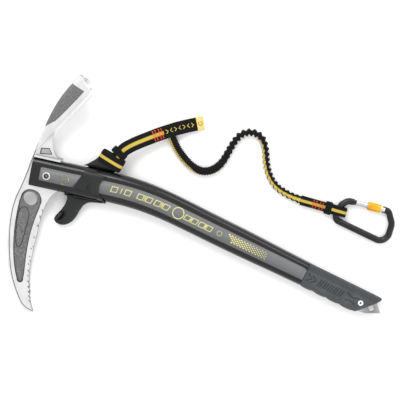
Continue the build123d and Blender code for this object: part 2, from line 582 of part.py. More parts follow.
strap_plane = Plane(origin=STRAP_FOOT, x_dir=(1, 0, STRAP_SLOPE[0]), z_dir=(-STRAP_SLOPE[0], -STRAP_SLOPE[1], 1))
strap_points = [Vector(*point) for point in STRAP_ROUTE]
with BuildPart() as leash_strap:
    with BuildSketch():
        with BuildLine():
            Polyline(*HITCH_OUTLINE, close=True)
        make_face()
    extrude(amount=NECK_THICK / 2 + WEB_THICK, both=True)
    with BuildSketch(strap_plane):
        with BuildLine():
            FilletPolyline(*strap_points, radius=cord_radii(strap_points))
        trace(line_width=WEB_WIDTH)
    extrude(amount=WEB_THICK)
    add(trigger_body.part, mode=Mode.SUBTRACT)
save(leash_strap, "leash_strap", LYING)

with BuildPart() as strap_label:
    label_run = (strap_points[-1] - strap_points[-2]).normalized()
    label_turn = degrees(atan2(label_run.Y, label_run.X))
    with BuildSketch(strap_plane.offset(WEB_THICK)):
        with Locations(strap_points[-1] - label_run * LABEL_LENGTH / 2):
            Rectangle(LABEL_LENGTH, WEB_WIDTH - 1, rotation=label_turn)
    extrude(amount=LABEL_THICK)
save(strap_label, "strap_label", LYING)

with BuildPart() as strap_bartacks:
    tack_run = (strap_points[-2] - strap_points[-4]).normalized()
    tack_turn = degrees(atan2(tack_run.Y, tack_run.X))
    with BuildSketch(strap_plane.offset(WEB_THICK)):
        with Locations([strap_points[-3] + tack_run * step for step in TACK_STEPS]):
            Rectangle(*TACK_SIZE, rotation=tack_turn)
    extrude(amount=TACK_THICK)
save(strap_bartacks, "strap_bartacks", LYING)

# Elastic leash: a plain tube along its route
elastic_points = [Vector(*point) for point in ELASTIC_ROUTE]
elastic_radii = cord_radii(elastic_points)
print("elastic radii", [round(radius, 1) for radius in elastic_radii])
elastic_path = swept_path(elastic_points, elastic_radii)
with BuildPart() as leash_elastic:
    with BuildSketch(Plane(origin=elastic_points[0], z_dir=elastic_points[1] - elastic_points[0])):
        Circle(ELASTIC_DIAMETER / 2)
    sweep(path=elastic_path)
print("elastic length", elastic_path.length, "volume share",
      leash_elastic.part.volume / (elastic_path.length * 3.1416 * ELASTIC_DIAMETER ** 2 / 4))
save(leash_elastic, "leash_elastic", ON_FLOOR)

# End webbing: flat sewn plies and the tunnel round the carabiner's small end
elastic_end = elastic_points[-1]
tunnel_at = Vector(*TUNNEL_AT)
leash_run = Vector(tunnel_at.X - elastic_end.X, tunnel_at.Y - elastic_end.Y)
leash_way = leash_run.normalized()
end_side = Vector(leash_way.Y, -leash_way.X)
tunnel_height = 2 * (BAR_RADIUS + TUNNEL_CLEARANCE)
end_plane = Plane(origin=tunnel_at, x_dir=leash_way, z_dir=end_side)
with BuildPart() as leash_end_strap:
    with BuildSketch(end_plane):
        with Locations((0, tunnel_height / 2 + END_WEB_PLY)):
            SlotOverall(TUNNEL_LENGTH + 2 * END_WEB_PLY, tunnel_height + 2 * END_WEB_PLY)
        with Locations((-leash_run.length / 2, tunnel_height / 2 + END_WEB_PLY)):
            Rectangle(leash_run.length, END_WEB_THICK)
        with Locations((0, tunnel_height / 2 + END_WEB_PLY)):
            SlotOverall(TUNNEL_LENGTH, tunnel_height, mode=Mode.SUBTRACT)
    extrude(amount=END_WEB_WIDTH / 2, both=True)
save(leash_end_strap, "leash_end_strap", ON_FLOOR)

with BuildPart() as leash_end_bartacks:
    tack_height = tunnel_height / 2 + END_WEB_PLY + END_WEB_THICK / 2
    with BuildSketch(Plane(origin=tunnel_at + Vector(0, 0, tack_height), x_dir=leash_way, z_dir=(0, 0, 1))):
        with Locations([(step, 0) for step in END_TACK_STEPS]):
            Rectangle(*TACK_SIZE)
    extrude(amount=TACK_THICK)
save(leash_end_bartacks, "leash_end_bartacks", ON_FLOOR)

# Carabiner, in its own plane: it rests on the webbing, on the sleeve and on its big end
bar_a, bar_b, bar_c = (Vector(*point) for point in BAR_HEIGHTS)
bar_up = (bar_b - bar_a).cross(bar_c - bar_a).normalized()
bar_up = bar_up if bar_up.Z > 0 else bar_up * -1


def on_bar_plane(point):
    """Point of the carabiner's middle plane above a place on the floor."""
    x, y = point
    return Vector(x, y, bar_a.Z - (bar_up.X * (x - bar_a.X) + bar_up.Y * (y - bar_a.Y)) / bar_up.Z)


hinge_at = on_bar_plane(HINGE_AT)
turn = radians(GATE_TURN)
gate_way = (on_bar_plane((HINGE_AT[0] + cos(turn), HINGE_AT[1] + sin(turn))) - hinge_at).normalized()
gate_plane = Plane(origin=hinge_at, x_dir=gate_way, z_dir=bar_up)


def across_gate(step):
    """Plane across the gate's axis, at a step from the hinge toward the nose."""
    return Plane(origin=hinge_at + gate_way * step, x_dir=gate_plane.y_dir, z_dir=gate_way)


nose_start = hinge_at + gate_way * (GATE_LENGTH + GATE_GAP)
frame_points = [nose_start] + [on_bar_plane(point) for point in FRAME_ROUTE] + [hinge_at]
with BuildPart() as carabiner_frame:
    with BuildSketch(across_gate(GATE_LENGTH + GATE_GAP)):
        Circle(BAR_RADIUS)
    sweep(path=swept_path(frame_points, list(FRAME_ROUNDS)))
    with BuildSketch(across_gate(GATE_LENGTH + GATE_GAP)):
        Circle(SLEEVE_RADIUS)
        Circle(GATE_RADIUS, mode=Mode.SUBTRACT)
    extrude(amount=NOSE_NECK, mode=Mode.SUBTRACT)
    with BuildSketch(across_gate(-TONGUE_LENGTH)):
        Circle(SLEEVE_RADIUS + 2)
    hinge_space = extrude(amount=2 * TONGUE_LENGTH + 4, mode=Mode.PRIVATE)
    with BuildSketch(gate_plane):
        Rectangle(2 * TONGUE_LENGTH, 30)
    tongue = extrude(amount=TONGUE_THICK / 2, both=True, mode=Mode.PRIVATE)
    add(hinge_space - tongue, mode=Mode.SUBTRACT)
    with BuildSketch(gate_plane):
        Circle(GATE_RADIUS - 0.3)
    extrude(amount=TONGUE_THICK / 2, both=True)
    add(disc_hole(gate_plane.offset(-9), (0, 0), GATE_PIN_RADIUS, 18), mode=Mode.SUBTRACT)
save(carabiner_frame, "carabiner_frame", ON_FLOOR)

with BuildPart() as carabiner_gate:
    with BuildSketch(across_gate(-GATE_RADIUS)):
        Circle(GATE_RADIUS)
    extrude(amount=GATE_LENGTH + GATE_RADIUS)
    with BuildSketch(gate_plane):
        with Locations((-GATE_RADIUS, 0)):
            Rectangle(4 * GATE_RADIUS + 2, 20)
    extrude(amount=TONGUE_THICK / 2 + PIVOT_CLEARANCE * 2, both=True, mode=Mode.SUBTRACT)
    with BuildSketch(across_gate(GATE_LENGTH)):
        Circle(GATE_BORE)
    extrude(amount=-(GATE_LENGTH - 2 * GATE_RADIUS), mode=Mode.SUBTRACT)
    add(disc_hole(gate_plane.offset(-9), (0, 0), GATE_PIN_RADIUS + PIVOT_CLEARANCE, 18), mode=Mode.SUBTRACT)
save(carabiner_gate, "carabiner_gate", ON_FLOOR)

with BuildPart() as gate_pin:
    add(disc_hole(gate_plane.offset(-GATE_RADIUS), (0, 0), GATE_PIN_RADIUS, 2 * GATE_RADIUS))
save(gate_pin, "gate_pin", ON_FLOOR)

with BuildPart() as gate_spring:
    with BuildSketch(across_gate(2 * GATE_RADIUS)):
        Circle(GATE_BORE - 0.2)
        Circle(GATE_BORE - 0.8, mode=Mode.SUBTRACT)
    extrude(amount=GATE_LENGTH - 4 * GATE_RADIUS)
save(gate_spring, "gate_spring", ON_FLOOR)

with BuildPart() as lock_sleeve:
    with BuildSketch(across_gate(SLEEVE_BACK)):
        Circle(SLEEVE_RADIUS)
        Circle(GATE_RADIUS + SLEEVE_CLEARANCE, mode=Mode.SUBTRACT)
        with PolarLocations(SLEEVE_RADIUS, SLEEVE_KNURLS):
            Circle(KNURL_RADIUS, mode=Mode.SUBTRACT)
    extrude(amount=SLEEVE_LENGTH)
save(lock_sleeve, "lock_sleeve", ON_FLOOR)
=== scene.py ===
"""Looks of the ice axe: finishes for its CAD pieces, webbing, elastic leash, printed panels and stage.

Lengths are in metres, and points of the axe are given in its own plane in millimetres: X along the lower
shaft from the head to the spike, Y toward the adze, Z across the shaft. AXE turns them into the frame.
"""
import json
import math
from functools import partialmethod

import bmesh
import bpy
from mathutils import Matrix, Vector


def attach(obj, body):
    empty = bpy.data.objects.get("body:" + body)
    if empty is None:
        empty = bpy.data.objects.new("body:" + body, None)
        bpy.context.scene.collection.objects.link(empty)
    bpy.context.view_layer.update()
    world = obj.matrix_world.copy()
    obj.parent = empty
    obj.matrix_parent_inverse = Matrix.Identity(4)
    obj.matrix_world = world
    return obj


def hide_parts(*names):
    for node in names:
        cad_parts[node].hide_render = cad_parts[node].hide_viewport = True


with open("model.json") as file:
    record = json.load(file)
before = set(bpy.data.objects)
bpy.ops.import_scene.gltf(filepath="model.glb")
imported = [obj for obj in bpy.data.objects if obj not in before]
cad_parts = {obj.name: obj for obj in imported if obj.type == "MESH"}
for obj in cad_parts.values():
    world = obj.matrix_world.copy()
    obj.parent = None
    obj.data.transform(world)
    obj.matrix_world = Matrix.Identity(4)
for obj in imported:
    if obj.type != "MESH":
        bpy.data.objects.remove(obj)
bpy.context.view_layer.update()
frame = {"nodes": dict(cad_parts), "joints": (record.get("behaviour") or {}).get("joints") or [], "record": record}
RECORD = frame["record"]
NODES = frame["nodes"]

bl_info = {
    "name": "Ice axe with leash",
    "version": (1, 0, 0),
    "blender": (4, 5, 0),
    "location": "3D View > Sidebar > Ice Axe",
    "description": "Builds the looks of an ice axe with a sliding hand rest and an elastic leash",
    "category": "Object",
}

MM = 0.001
UP = Vector((0, 0, 1))

# Shaft, in millimetres: a straight head end, a bend and a straight lower end
BEND = math.radians(14.0)
BEND_RADIUS = 320.0
HEAD_RUN = 105.4
BEND_END_X = 185.5
SHAFT_SIDE = 10.5
GRIP_START_X = 372.0
EYE_AT = (18.9, -69.0)
BOLT_AT = (20.7, -1.5)
BADGE_AT = (43.0, -1.5)
PLATE_SIDE = 2.8
POCKET_FLOOR = 2.0

# Webbing tab: its route in its own sloping plane, which stands at its foot
TAB_FOOT = (97.0, 37.0, 2.0)
TAB_SLOPE = (-0.0804, -0.236)
TAB_ROUTE = ((-0.5, -12.0), (0.0, 0.0), (8.2, 12.6), (21.3, 27.0), (36.4, 42.8), (58.4, 62.9), (78.5, 77.4))

# Leash on the floor, in millimetres from the axe's own corner
ORIGIN = (238.4, -40.8)
ELASTIC_ROUTE = ((139.6, 88.6, 6.0), (145.6, 80.4, 5.6), (156.5, 70.6, 5.4), (169.5, 63.4, 5.4),
                 (184.5, 57.6, 5.4), (199.5, 57.2, 5.4), (211.6, 66.0, 5.4), (217.4, 79.8, 5.4),
                 (218.0, 95.2, 5.4), (218.9, 110.4, 5.4), (223.0, 123.2, 5.4), (233.8, 131.0, 5.4),
                 (247.4, 130.4, 5.4), (257.8, 119.8, 5.4), (265.8, 105.0, 5.4), (275.6, 92.0, 5.4),
                 (289.8, 82.4, 5.4), (305.0, 79.8, 5.4), (320.0, 79.9, 5.4), (334.0, 82.0, 5.4))
TUNNEL_AT = (375.2, 89.6)
END_LOOP = ((-49.5, 8.4), (-45.0, 8.2), (-40.5, 7.9), (-34.0, 7.7), (-17.0, 7.8), (-11.0, 10.2),
            (-3.0, 11.5), (5.0, 11.4), (9.3, 9.8), (9.5, 6.15), (9.3, 2.6), (5.0, 0.9), (-3.0, 0.85),
            (-11.0, 2.1), (-17.0, 4.5), (-34.0, 4.6), (-40.5, 4.4), (-45.0, 3.8), (-49.5, 3.4))

# Stitching, marks and label, as distances back from the tab's end and steps from the end loop, in metres
TACK_TURNS = 14
TACK_HALF_WIDTH = 0.0007
TAB_TACKS_BACK = (0.0655, 0.062, 0.057, 0.0535)
TAB_MARKS_BACK = (0.0140, 0.0195, 0.0250, 0.0305, 0.0360, 0.0415, 0.0470)
STRIPE_BACK = 0.052
LABEL_LENGTH = 0.0092
END_TACK_STEPS = (-0.033, -0.0295, -0.0245, -0.021)

# Where the leash's stripe runs: its first turn round the leash, and its shifts along it (start, spread, turn)
STRIPE_START = 0.405
STRIPE_TURNS = ((0.20, 0.14, 0.335), (0.52, 0.12, -0.335), (0.66, 0.30, -0.14))

# Lines of painted shade on the head, in the axe's plane: outlines, inner shape, web pocket, spine and tooth roots
PICK_OUTLINE = ((7.2, -66.0), (8.2, -79.0), (14.4, -105.0), (23.2, -130.0), (33.0, -151.0), (46.5, -171.5),
                (51.8, -174.5), (54.4, -168.5), (45.8, -143.0), (38.3, -115.6), (34.8, -91.0),
                (34.2, -68.0), (28.0, -57.6), (19.5, -56.4), (11.0, -59.0))
PICK_SHAPE = ((11.5, -84.5), (14.2, -99.0), (20.0, -116.0), (27.0, -131.5), (31.5, -133.5), (33.5, -129.0),
              (31.0, -113.0), (28.4, -98.0), (25.8, -85.5), (19.0, -80.5))
WEB_OUTLINE = ((5.0, -3.6), (14.4, 0.6), (20.4, -5.0), (6.6, -10.6))
SPINE = ((0.0, 16.0), (-0.5, -9.0), (1.7, -38.0), (2.6, -58.0), (2.0, -75.0), (4.9, -96.0), (15.7, -128.0),
         (35.3, -166.4), (54.7, -188.6), (69.9, -201.9), (81.5, -201.2))
TOOTH_ROOTS = ((54.6, -147.6), (51.6, -138.0), (49.0, -127.5), (46.6, -112.6), (57.4, -155.4),
               (60.2, -162.0), (63.4, -168.4), (66.8, -174.4), (70.6, -181.0), (44.0, -97.0), (42.0, -84.0))


# Marks on the shaft's sides in the order they are drawn: kind, runs, offset and size, in millimetres
SHAFT_MARKS = (("frame", (108, 125.5, 142, 153.5, 165, 176.5), 0.4, (8.4, 7.6)),
               ("bar", (117, 147.8, 170.8), 0.4, (1.2, 7.6)),
               ("ring", (193.5,), 0.4, (15.6, 15.6)),
               ("frame", (206.5, 216.5, 226.5, 236.5), 0.0, (8.2, 7.2)),
               ("bar", (211.5, 231.5), 0.0, (1.0, 7.2)),
               ("ring", (251.0,), 0.3, (6.8, 6.8)))

# Relief on one side of the grip: open lines in the axe's plane, and its height
GRIP_RELIEF = ([((start, 5.0), (start + 6.0, 0.0), (start, -5.0)) for start in (376.0, 382.0)]
               + [((start + step - 1.2, -4.6), (start + step + 1.2, 4.6))
                  for start in (393, 400, 407, 414, 421) for step in (0.0, 3.2)]
               + [((430.0, 4.6), (439.0, 1.8), (447.0, 4.4)), ((430.0, -4.6), (438.0, -3.0), (444.0, -5.6))])
RELIEF_HEIGHT = 10.8

# Area lights: name, place and size in metres, and power in watts; the point they and the camera look at
LIGHTS = (("key", (-0.9, 1.1, 1.5), 0.9, 20.0), ("fill", (1.2, -0.4, 1.4), 1.6, 6.0),
          ("rim", (0.2, 1.6, 0.8), 0.8, 6.0))
LOOK_AT = (-0.0257, 0.0642, 0.0)


def named(rows, name):
    """Row of the record with that name."""
    return next(row for row in rows if row["name"] == name)


def axe_frame():
    """Matrix from the axe's own plane to the frame, from the eye's bore and the hand rest's slide."""
    eye = named(RECORD["mounts"], "head_eye")
    slide = named(frame["joints"], "trigger_slide")
    cross = Vector(eye["axis"]).normalized()
    lower = Matrix.Rotation(-BEND, 3, cross) @ Vector(slide["axis"])
    turn = Matrix((lower, cross.cross(lower), cross)).transposed().to_4x4()
    return Matrix.Translation(Vector(eye["pos_m"]) - turn @ Vector((*EYE_AT, 0)) * MM) @ turn


AXE = axe_frame()


def axe(x, y, z=0.0):
    """Point of the axe, given in millimetres in its own plane."""
    return AXE @ (Vector((x, y, z)) * MM)


def risen(value, start, spread):
    """Share of a rise from nought to one that starts at a value and takes a spread."""
    return min(max((value - start) / spread, 0.0), 1.0)


def floor(x, y, z=0.0):
    """Point of the leash, given in millimetres on the floor."""
    return Vector((x - ORIGIN[0], y - ORIGIN[1], z)) * MM


def shaft_place(run, offset, z):
    """Point of the shaft, at a run from its head end along its centreline and an offset toward the adze."""
    turned = min(max((run - HEAD_RUN) / BEND_RADIUS, 0.0), BEND)
    left = BEND - turned
    radius = BEND_RADIUS + offset
    point = Vector((BEND_END_X - radius * math.sin(left), radius * math.cos(left) - BEND_RADIUS, z))
    rest = run - HEAD_RUN - turned * BEND_RADIUS
    return axe(*(point + Vector((math.cos(left), math.sin(left), 0)) * rest))


BEND_LENGTH = BEND * BEND_RADIUS


def span(name, description, default):
    """Length property with its own name and default, in metres."""
    return bpy.props.FloatProperty(name=name, description=description, default=default, unit="LENGTH")


class AxeSizes(bpy.types.PropertyGroup):
    """Sizes of the soft pieces and of the printed marks."""
    web_width: span("Webbing width", "Width of the tab's webbing", 0.0168)
    web_thick: span("Webbing thickness", "Thickness of the tab's webbing", 0.0024)
    end_width: span("End webbing width", "Width of the leash's end webbing", 0.012)
    end_thick: span("End webbing thickness", "Thickness of one end ply", 0.0015)
    stripe_share: bpy.props.FloatProperty(name="Stripe share", description="Striped share of the webbing",
                                          default=0.27, subtype="FACTOR")
    leash_diameter: span("Leash diameter", "Diameter of the gathered leash", 0.0104)
    ruffle_pitch: span("Ruffle pitch", "Distance between two loose ruffles", 0.0066)
    ruffle_depth: span("Ruffle depth", "Height of a loose ruffle", 0.0027)
    thread_radius: span("Thread radius", "Radius of the bar tacks' thread", 0.00042)
    panel_width: span("Panel width", "Width of the shaft's side panels", 0.0172)
    film: span("Film thickness", "Thickness of panels and printed marks", 0.00003)


def colour(name, description, default):
    """Colour property with its own name and default."""
    return bpy.props.FloatVectorProperty(name=name, description=description, subtype="COLOR", size=3,
                                         default=default, min=0.0, max=1.0)


class AxeColours(bpy.types.PropertyGroup):
    """Colours of the axe's finishes."""
    steel: colour("Steel", "Polished forging", (0.66, 0.66, 0.66))
    recess: colour("Recess", "Blasted pockets of the forging", (0.105, 0.105, 0.107))
    lacquer: colour("Lacquer", "Gloss bands of the shaft", (0.005, 0.005, 0.0054))
    panel: colour("Panel", "Side panels of the shaft", (0.115, 0.117, 0.120))
    ink: colour("Ink", "Printed marks", (0.56, 0.55, 0.20))
    nylon: colour("Nylon", "Moulded hand rest", (0.009, 0.0095, 0.0100))
    rubber: colour("Rubber", "Grip", (0.046, 0.050, 0.054))
    web: colour("Webbing", "Woven nylon", (0.0045, 0.0045, 0.005))
    stripe: colour("Stripe", "Knitted stripe", (0.72, 0.53, 0.09))
    thread: colour("Thread", "Bar tacks", (0.72, 0.075, 0.03))
    label: colour("Label", "Woven label", (0.66, 0.47, 0.16))
    anodised: colour("Anodised", "Frame of the carabiner", (0.010, 0.0105, 0.0115))
    gold: colour("Gold", "Locking sleeve", (0.76, 0.40, 0.02))


class Finish:
    """Material in the making: a Principled shader and the nodes that feed it."""

    def __init__(self, name, base, metallic=0.0, roughness=0.5, coat=0.0, sheen=0.0, specular=0.5):
        self.material = bpy.data.materials.new(name)
        self.material.use_nodes = True
        self.tree = self.material.node_tree
        self.shader = self.tree.nodes["Principled BSDF"]
        self.material.diffuse_color = (*base, 1.0)
        for socket, value in (("Base Color", (*base, 1.0)), ("Metallic", metallic), ("Roughness", roughness),
                              ("Coat Weight", coat), ("Coat Roughness", 0.08), ("Sheen Weight", sheen),
                              ("Sheen Roughness", 0.5), ("Specular IOR Level", specular)):
            self.shader.inputs[socket].default_value = value

    def feed(self, socket, value):
        """Link an output to a socket, or set its value."""
        if isinstance(value, bpy.types.NodeSocket):
            self.tree.links.new(value, socket)
        elif isinstance(value, tuple) and len(value) == 3 and socket.type == "RGBA":
            socket.default_value = (*value, 1.0)
        else:
            socket.default_value = value

    def node(self, kind, inputs=(), output=0, **settings):
        """Add a node with its settings and inputs, and give one of its outputs."""
        node = self.tree.nodes.new(kind)
        for name, value in settings.items():
            setattr(node, name, value)
        for key, value in inputs:
            self.feed(node.inputs[key], value)
        return node.outputs[output]

    def math(self, operation, first, second=0.0):
        """Result of a Math node."""
        return self.node("ShaderNodeMath", ((0, first), (1, second)), operation=operation)

    times = partialmethod(math, "MULTIPLY")
    plus = partialmethod(math, "ADD")
    minus = partialmethod(math, "SUBTRACT")
    larger = partialmethod(math, "MAXIMUM")

    def mix(self, factor, first, second):
        """Blend of two colours."""
        return self.node("ShaderNodeMix", ((0, factor), (6, first), (7, second)), output=2,
                         data_type="RGBA")

    def ramp(self, value, low, high):
        """Smooth step of a value between two limits."""
        return self.node("ShaderNodeMapRange", (("Value", value), ("From Min", low), ("From Max", high)),
                         interpolation_type="SMOOTHSTEP")

    def band(self, value, centre, half, soft):
        """One inside a band round a centre, falling to nought over a soft edge."""
        away = self.math("ABSOLUTE", self.minus(value, centre))
        return self.ramp(away, half + soft, half - soft)

    def place(self, in_axe=False):
        """Object coordinates, turned into the axe's own plane if asked."""
        coordinates = self.node("ShaderNodeTexCoord", output=3)
        if not in_axe:
            return coordinates
        back = AXE.inverted()
        return self.node("ShaderNodeMapping", ((0, coordinates), (1, tuple(back.translation)),
                                               (2, tuple(back.to_euler()))))

    def side_facing(self):
        """How far the surface faces straight to either side of the axe, from nought to one."""
        facing = self.node("ShaderNodeMapping", ((0, self.node("ShaderNodeTexCoord", output=1)),
                                                 (2, tuple(AXE.inverted().to_euler()))), vector_type="VECTOR")
        return self.math("ABSOLUTE", self.split(facing)[2])

    def split(self, vector):
        """The three parts of a vector."""
        node = self.tree.nodes.new("ShaderNodeSeparateXYZ")
        self.feed(node.inputs[0], vector)
        return node.outputs

    def noise(self, vector, scale, detail=3.0, rough=0.55):
        """Noise of a scale."""
        return self.node("ShaderNodeTexNoise", (("Vector", vector), ("Scale", scale), ("Detail", detail),
                                                ("Roughness", rough)))

    def half_wave(self, value, pitch):
        """Wave between nought and one, once in a pitch."""
        turned = self.times(value, 2 * math.pi / pitch)
        return self.node("ShaderNodeMath", ((0, self.math("SINE", turned)), (1, 0.5), (2, 0.5)),
                         operation="MULTIPLY_ADD")

    def paint(self, colour_value):
        """Set the base colour."""
        self.feed(self.shader.inputs["Base Color"], colour_value)

    def dull(self, value, low, high):
        """Let a value from nought to one vary the roughness."""
        spread = self.node("ShaderNodeMapRange", (("Value", value), ("To Min", low), ("To Max", high)))
        self.feed(self.shader.inputs["Roughness"], spread)

    def bump(self, height, strength, distance):
        """Let a height tilt the surface."""
        normal = self.node("ShaderNodeBump", (("Height", height), ("Strength", strength),
                                              ("Distance", distance)))
        self.feed(self.shader.inputs["Normal"], normal)


def dimmed(base, factor):
    """Colour, darker or lighter by a factor."""
    return tuple(part * factor for part in base)


def tone(name, factor=1.0):
    """Colour of a finish from the scene's properties, darker or lighter by a factor."""
    return dimmed(getattr(bpy.context.scene.axe_colours, name), factor)


def sizes():
    """The scene's sizes."""
    return bpy.context.scene.axe_sizes


def forged_steel():
    """Polished steel with blasted grey pockets and ground edges, with painted shade: a dark band along the adze's
    crest and a dark line along the adze pocket's wall.
    """
    steel = Finish("forged_steel", tone("steel"), metallic=0.75, roughness=0.3)
    place = steel.place(in_axe=True)
    _, y, z = steel.split(place)
    side = steel.math("ABSOLUTE", z)
    flat = steel.ramp(steel.side_facing(), 0.6, 0.8)
    sunk = steel.times(steel.ramp(side, 0.00245, 0.00225), flat)
    pick_pocket = steel.times(sunk, steel.ramp(y, -0.0540, -0.0555))
    web_pocket = steel.times(sunk, steel.band(y, -0.0050, 0.0062, 0.0003))
    lower_width = steel.times(steel.minus(y, 0.0184), 0.50)
    upper_width = steel.plus(steel.times(steel.minus(y, 0.036), 0.238), 0.0088)
    inside = steel.minus(steel.math("MINIMUM", lower_width, upper_width), side)
    below_bevel = steel.ramp(y, 0.0885, 0.0878)
    adze_floor = steel.times(steel.ramp(inside, -0.0002, 0.0005), below_bevel)
    # Painted shade: a dark line along the adze pocket's edge, where its wall meets the rim.
    pocket_wall_shade = steel.times(steel.band(inside, 0.0, 0.0003, 0.0003), below_bevel)
    pocket_wall_shade = steel.times(pocket_wall_shade, steel.ramp(y, 0.016, 0.022))
    # Painted shade: a dark band along the adze's crest near its end, given the blasted pockets' colour.
    crest_shade = steel.times(steel.band(side, 0.0, 0.0040, 0.0015), steel.ramp(y, 0.086, 0.089))
    pockets_and_crest_shade = steel.larger(pick_pocket, steel.larger(adze_floor, crest_shade))
    mottle = steel.noise(place, 700.0, 6.0, 0.75)
    cloud = steel.noise(place, 55.0, 4.0)
    speckle = steel.ramp(mottle, 0.38, 0.62)
    # Mottled grey of the blasted pockets, also used as the colour of the painted shade along the adze's crest.
    mottled_tone = steel.mix(speckle, tone("recess", 0.55), tone("recess", 1.9))
    mottled_tone = steel.mix(steel.ramp(cloud, 0.35, 0.75), mottled_tone, tone("recess", 1.15))
    bright = steel.mix(steel.ramp(cloud, 0.35, 0.8), tone("steel"), tone("steel", 0.86))
    rim = steel.times(steel.ramp(steel.side_facing(), 0.93, 0.6), steel.ramp(y, 0.004, -0.006))
    body = steel.mix(steel.larger(pockets_and_crest_shade, steel.times(rim, 0.8)), bright, mottled_tone)
    body = steel.mix(web_pocket, body, tone("steel", 0.55))
    steel.paint(steel.mix(pocket_wall_shade, body, (0.05, 0.05, 0.05)))
    steel.feed(steel.shader.inputs["Metallic"], steel.minus(0.75, steel.times(pockets_and_crest_shade, 0.3)))
    steel.dull(steel.larger(steel.times(pockets_and_crest_shade, 0.9), steel.times(mottle, 0.3)), 0.22, 0.5)
    stretched = steel.node("ShaderNodeMapping", ((0, place), (3, (90.0, 1400.0, 90.0))))
    scratches = steel.noise(stretched, 1.0, 2.0)
    steel.bump(steel.plus(scratches, steel.times(mottle, pockets_and_crest_shade)), 0.2, 0.0002)
    return steel.material


def lacquer():
    """Gloss black lacquer over a fine twill."""
    gloss = Finish("gloss_lacquer", tone("lacquer"), roughness=0.22, coat=0.25, specular=0.2)
    x, y, z = gloss.split(gloss.place(in_axe=True))
    twill = gloss.half_wave(gloss.plus(gloss.plus(x, y), z), 0.0022)
    cross = gloss.half_wave(gloss.minus(x, gloss.plus(y, z)), 0.0022)
    weave = gloss.times(gloss.ramp(twill, 0.3, 0.7), gloss.ramp(cross, 0.3, 0.7))
    gloss.paint(gloss.mix(weave, tone("lacquer"), tone("lacquer", 2.2)))
    smear = gloss.noise(gloss.place(), 35.0)
    gloss.dull(smear, 0.14, 0.34)
    gloss.bump(weave, 0.05, 0.0002)
    return gloss.material


def grained(name, base, roughness, grain, strength, metallic=0.0, coat=0.0, contrast=0.25, specular=0.3):
    """Moulded or metal finish with a fine grain and worn patches."""
    finish = Finish(name, base, metallic=metallic, roughness=roughness, coat=coat, specular=specular)
    place = finish.place()
    fine = finish.noise(place, grain, 4.0, 0.6)
    patch = finish.noise(place, grain / 22, 3.0)
    finish.paint(finish.mix(finish.ramp(patch, 0.3, 0.7), dimmed(base, 1 - contrast),
                            tuple(min(1.0, part * (1 + contrast)) for part in base)))
    finish.dull(fine, roughness - 0.08, roughness + 0.1)
    finish.bump(fine, strength, 0.0003)
    return finish.material


def hidden_socket(name, base, centre, radius):
    """Turned steel with painted shade: black inside its socket round a centre in the axe's plane."""
    steel = Finish(name, base, metallic=1.0, roughness=0.3, specular=0.05)
    x, y, _ = steel.split(steel.place(in_axe=True))
    away_x = steel.math("POWER", steel.minus(x, centre[0] * MM), 2.0)
    away_y = steel.math("POWER", steel.minus(y, centre[1] * MM), 2.0)
    away = steel.math("SQRT", steel.plus(away_x, away_y))
    # Painted shade: inside the socket's radius the steel is painted black and not metallic.
    socket_shade = steel.ramp(away, radius + 0.0002, radius)
    rings = steel.half_wave(away, 0.0004)
    steel.paint(steel.mix(socket_shade, base, (0.004, 0.004, 0.004)))
    steel.feed(steel.shader.inputs["Metallic"], steel.minus(1.0, socket_shade))
    steel.dull(steel.larger(rings, socket_shade), 0.25, 0.6)
    steel.bump(rings, 0.1, 0.0001)
    return steel.material


def rubber_grip():
    """Moulded grip: fine ribs along its top edge, with painted shade in the grooves between them, and a soft grain
    on its sides.
    """
    grip = Finish("grip_rubber", tone("rubber"), roughness=0.62, specular=0.25)
    place = grip.place(in_axe=True)
    x, y, _ = grip.split(place)
    top = grip.ramp(y, 0.0072, 0.0090)
    slanted = grip.plus(x, grip.times(y, 0.3))
    ribs = grip.times(grip.half_wave(slanted, 0.0020), top)
    grain = grip.noise(place, 1500.0, 3.0, 0.6)
    dust = grip.noise(place, 90.0, 4.0)
    mottled_tone = grip.mix(grip.ramp(dust, 0.35, 0.7), tone("rubber"), tone("rubber", 1.35))
    # Painted shade: the grooves between the ribs are darker.
    grip.paint(grip.mix(ribs, mottled_tone, tone("rubber", 0.55)))
    grip.dull(grain, 0.5, 0.75)
    relief = grip.plus(grip.times(ribs, -1.0), grip.times(grain, 0.3))
    grip.bump(relief, 0.7, 0.0006)
    return grip.material


def woven(name, base, stripe, stripe_half, ribbed, until=9.0):
    """Webbing: ribs across its run, and a knitted stripe along its middle until a run."""
    cloth = Finish(name, base, roughness=0.85, sheen=0.04, specular=0.1)
    run, side, _ = cloth.split(cloth.node("ShaderNodeTexCoord", output=2))
    from_middle = cloth.math("ABSOLUTE", cloth.minus(side, 0.5))
    zig = cloth.times(from_middle, ribbed * 7.0)
    weave = cloth.half_wave(cloth.plus(run, zig), ribbed)
    yarns = cloth.half_wave(side, 0.085)
    knit = cloth.times(weave, cloth.plus(cloth.times(yarns, 0.5), 0.5))
    fuzz = cloth.noise(cloth.place(), 2600.0, 3.0)
    ragged = cloth.plus(from_middle, cloth.times(cloth.minus(weave, 0.5), 0.03))
    stripe_mask = cloth.ramp(ragged, stripe_half + 0.012, stripe_half - 0.012)
    stripe_mask = cloth.times(stripe_mask, cloth.ramp(run, until + 0.0004, until - 0.0004))
    dark = cloth.mix(knit, dimmed(base, 0.5), dimmed(base, 2.6))
    light = cloth.mix(knit, dimmed(stripe, 0.45), tuple(min(1, part * 1.15) for part in stripe))
    cloth.paint(cloth.mix(stripe_mask, dark, light))
    cloth.dull(fuzz, 0.7, 0.95)
    cloth.bump(cloth.plus(knit, cloth.times(fuzz, 0.3)), 0.9, 0.0005)
    return cloth.material


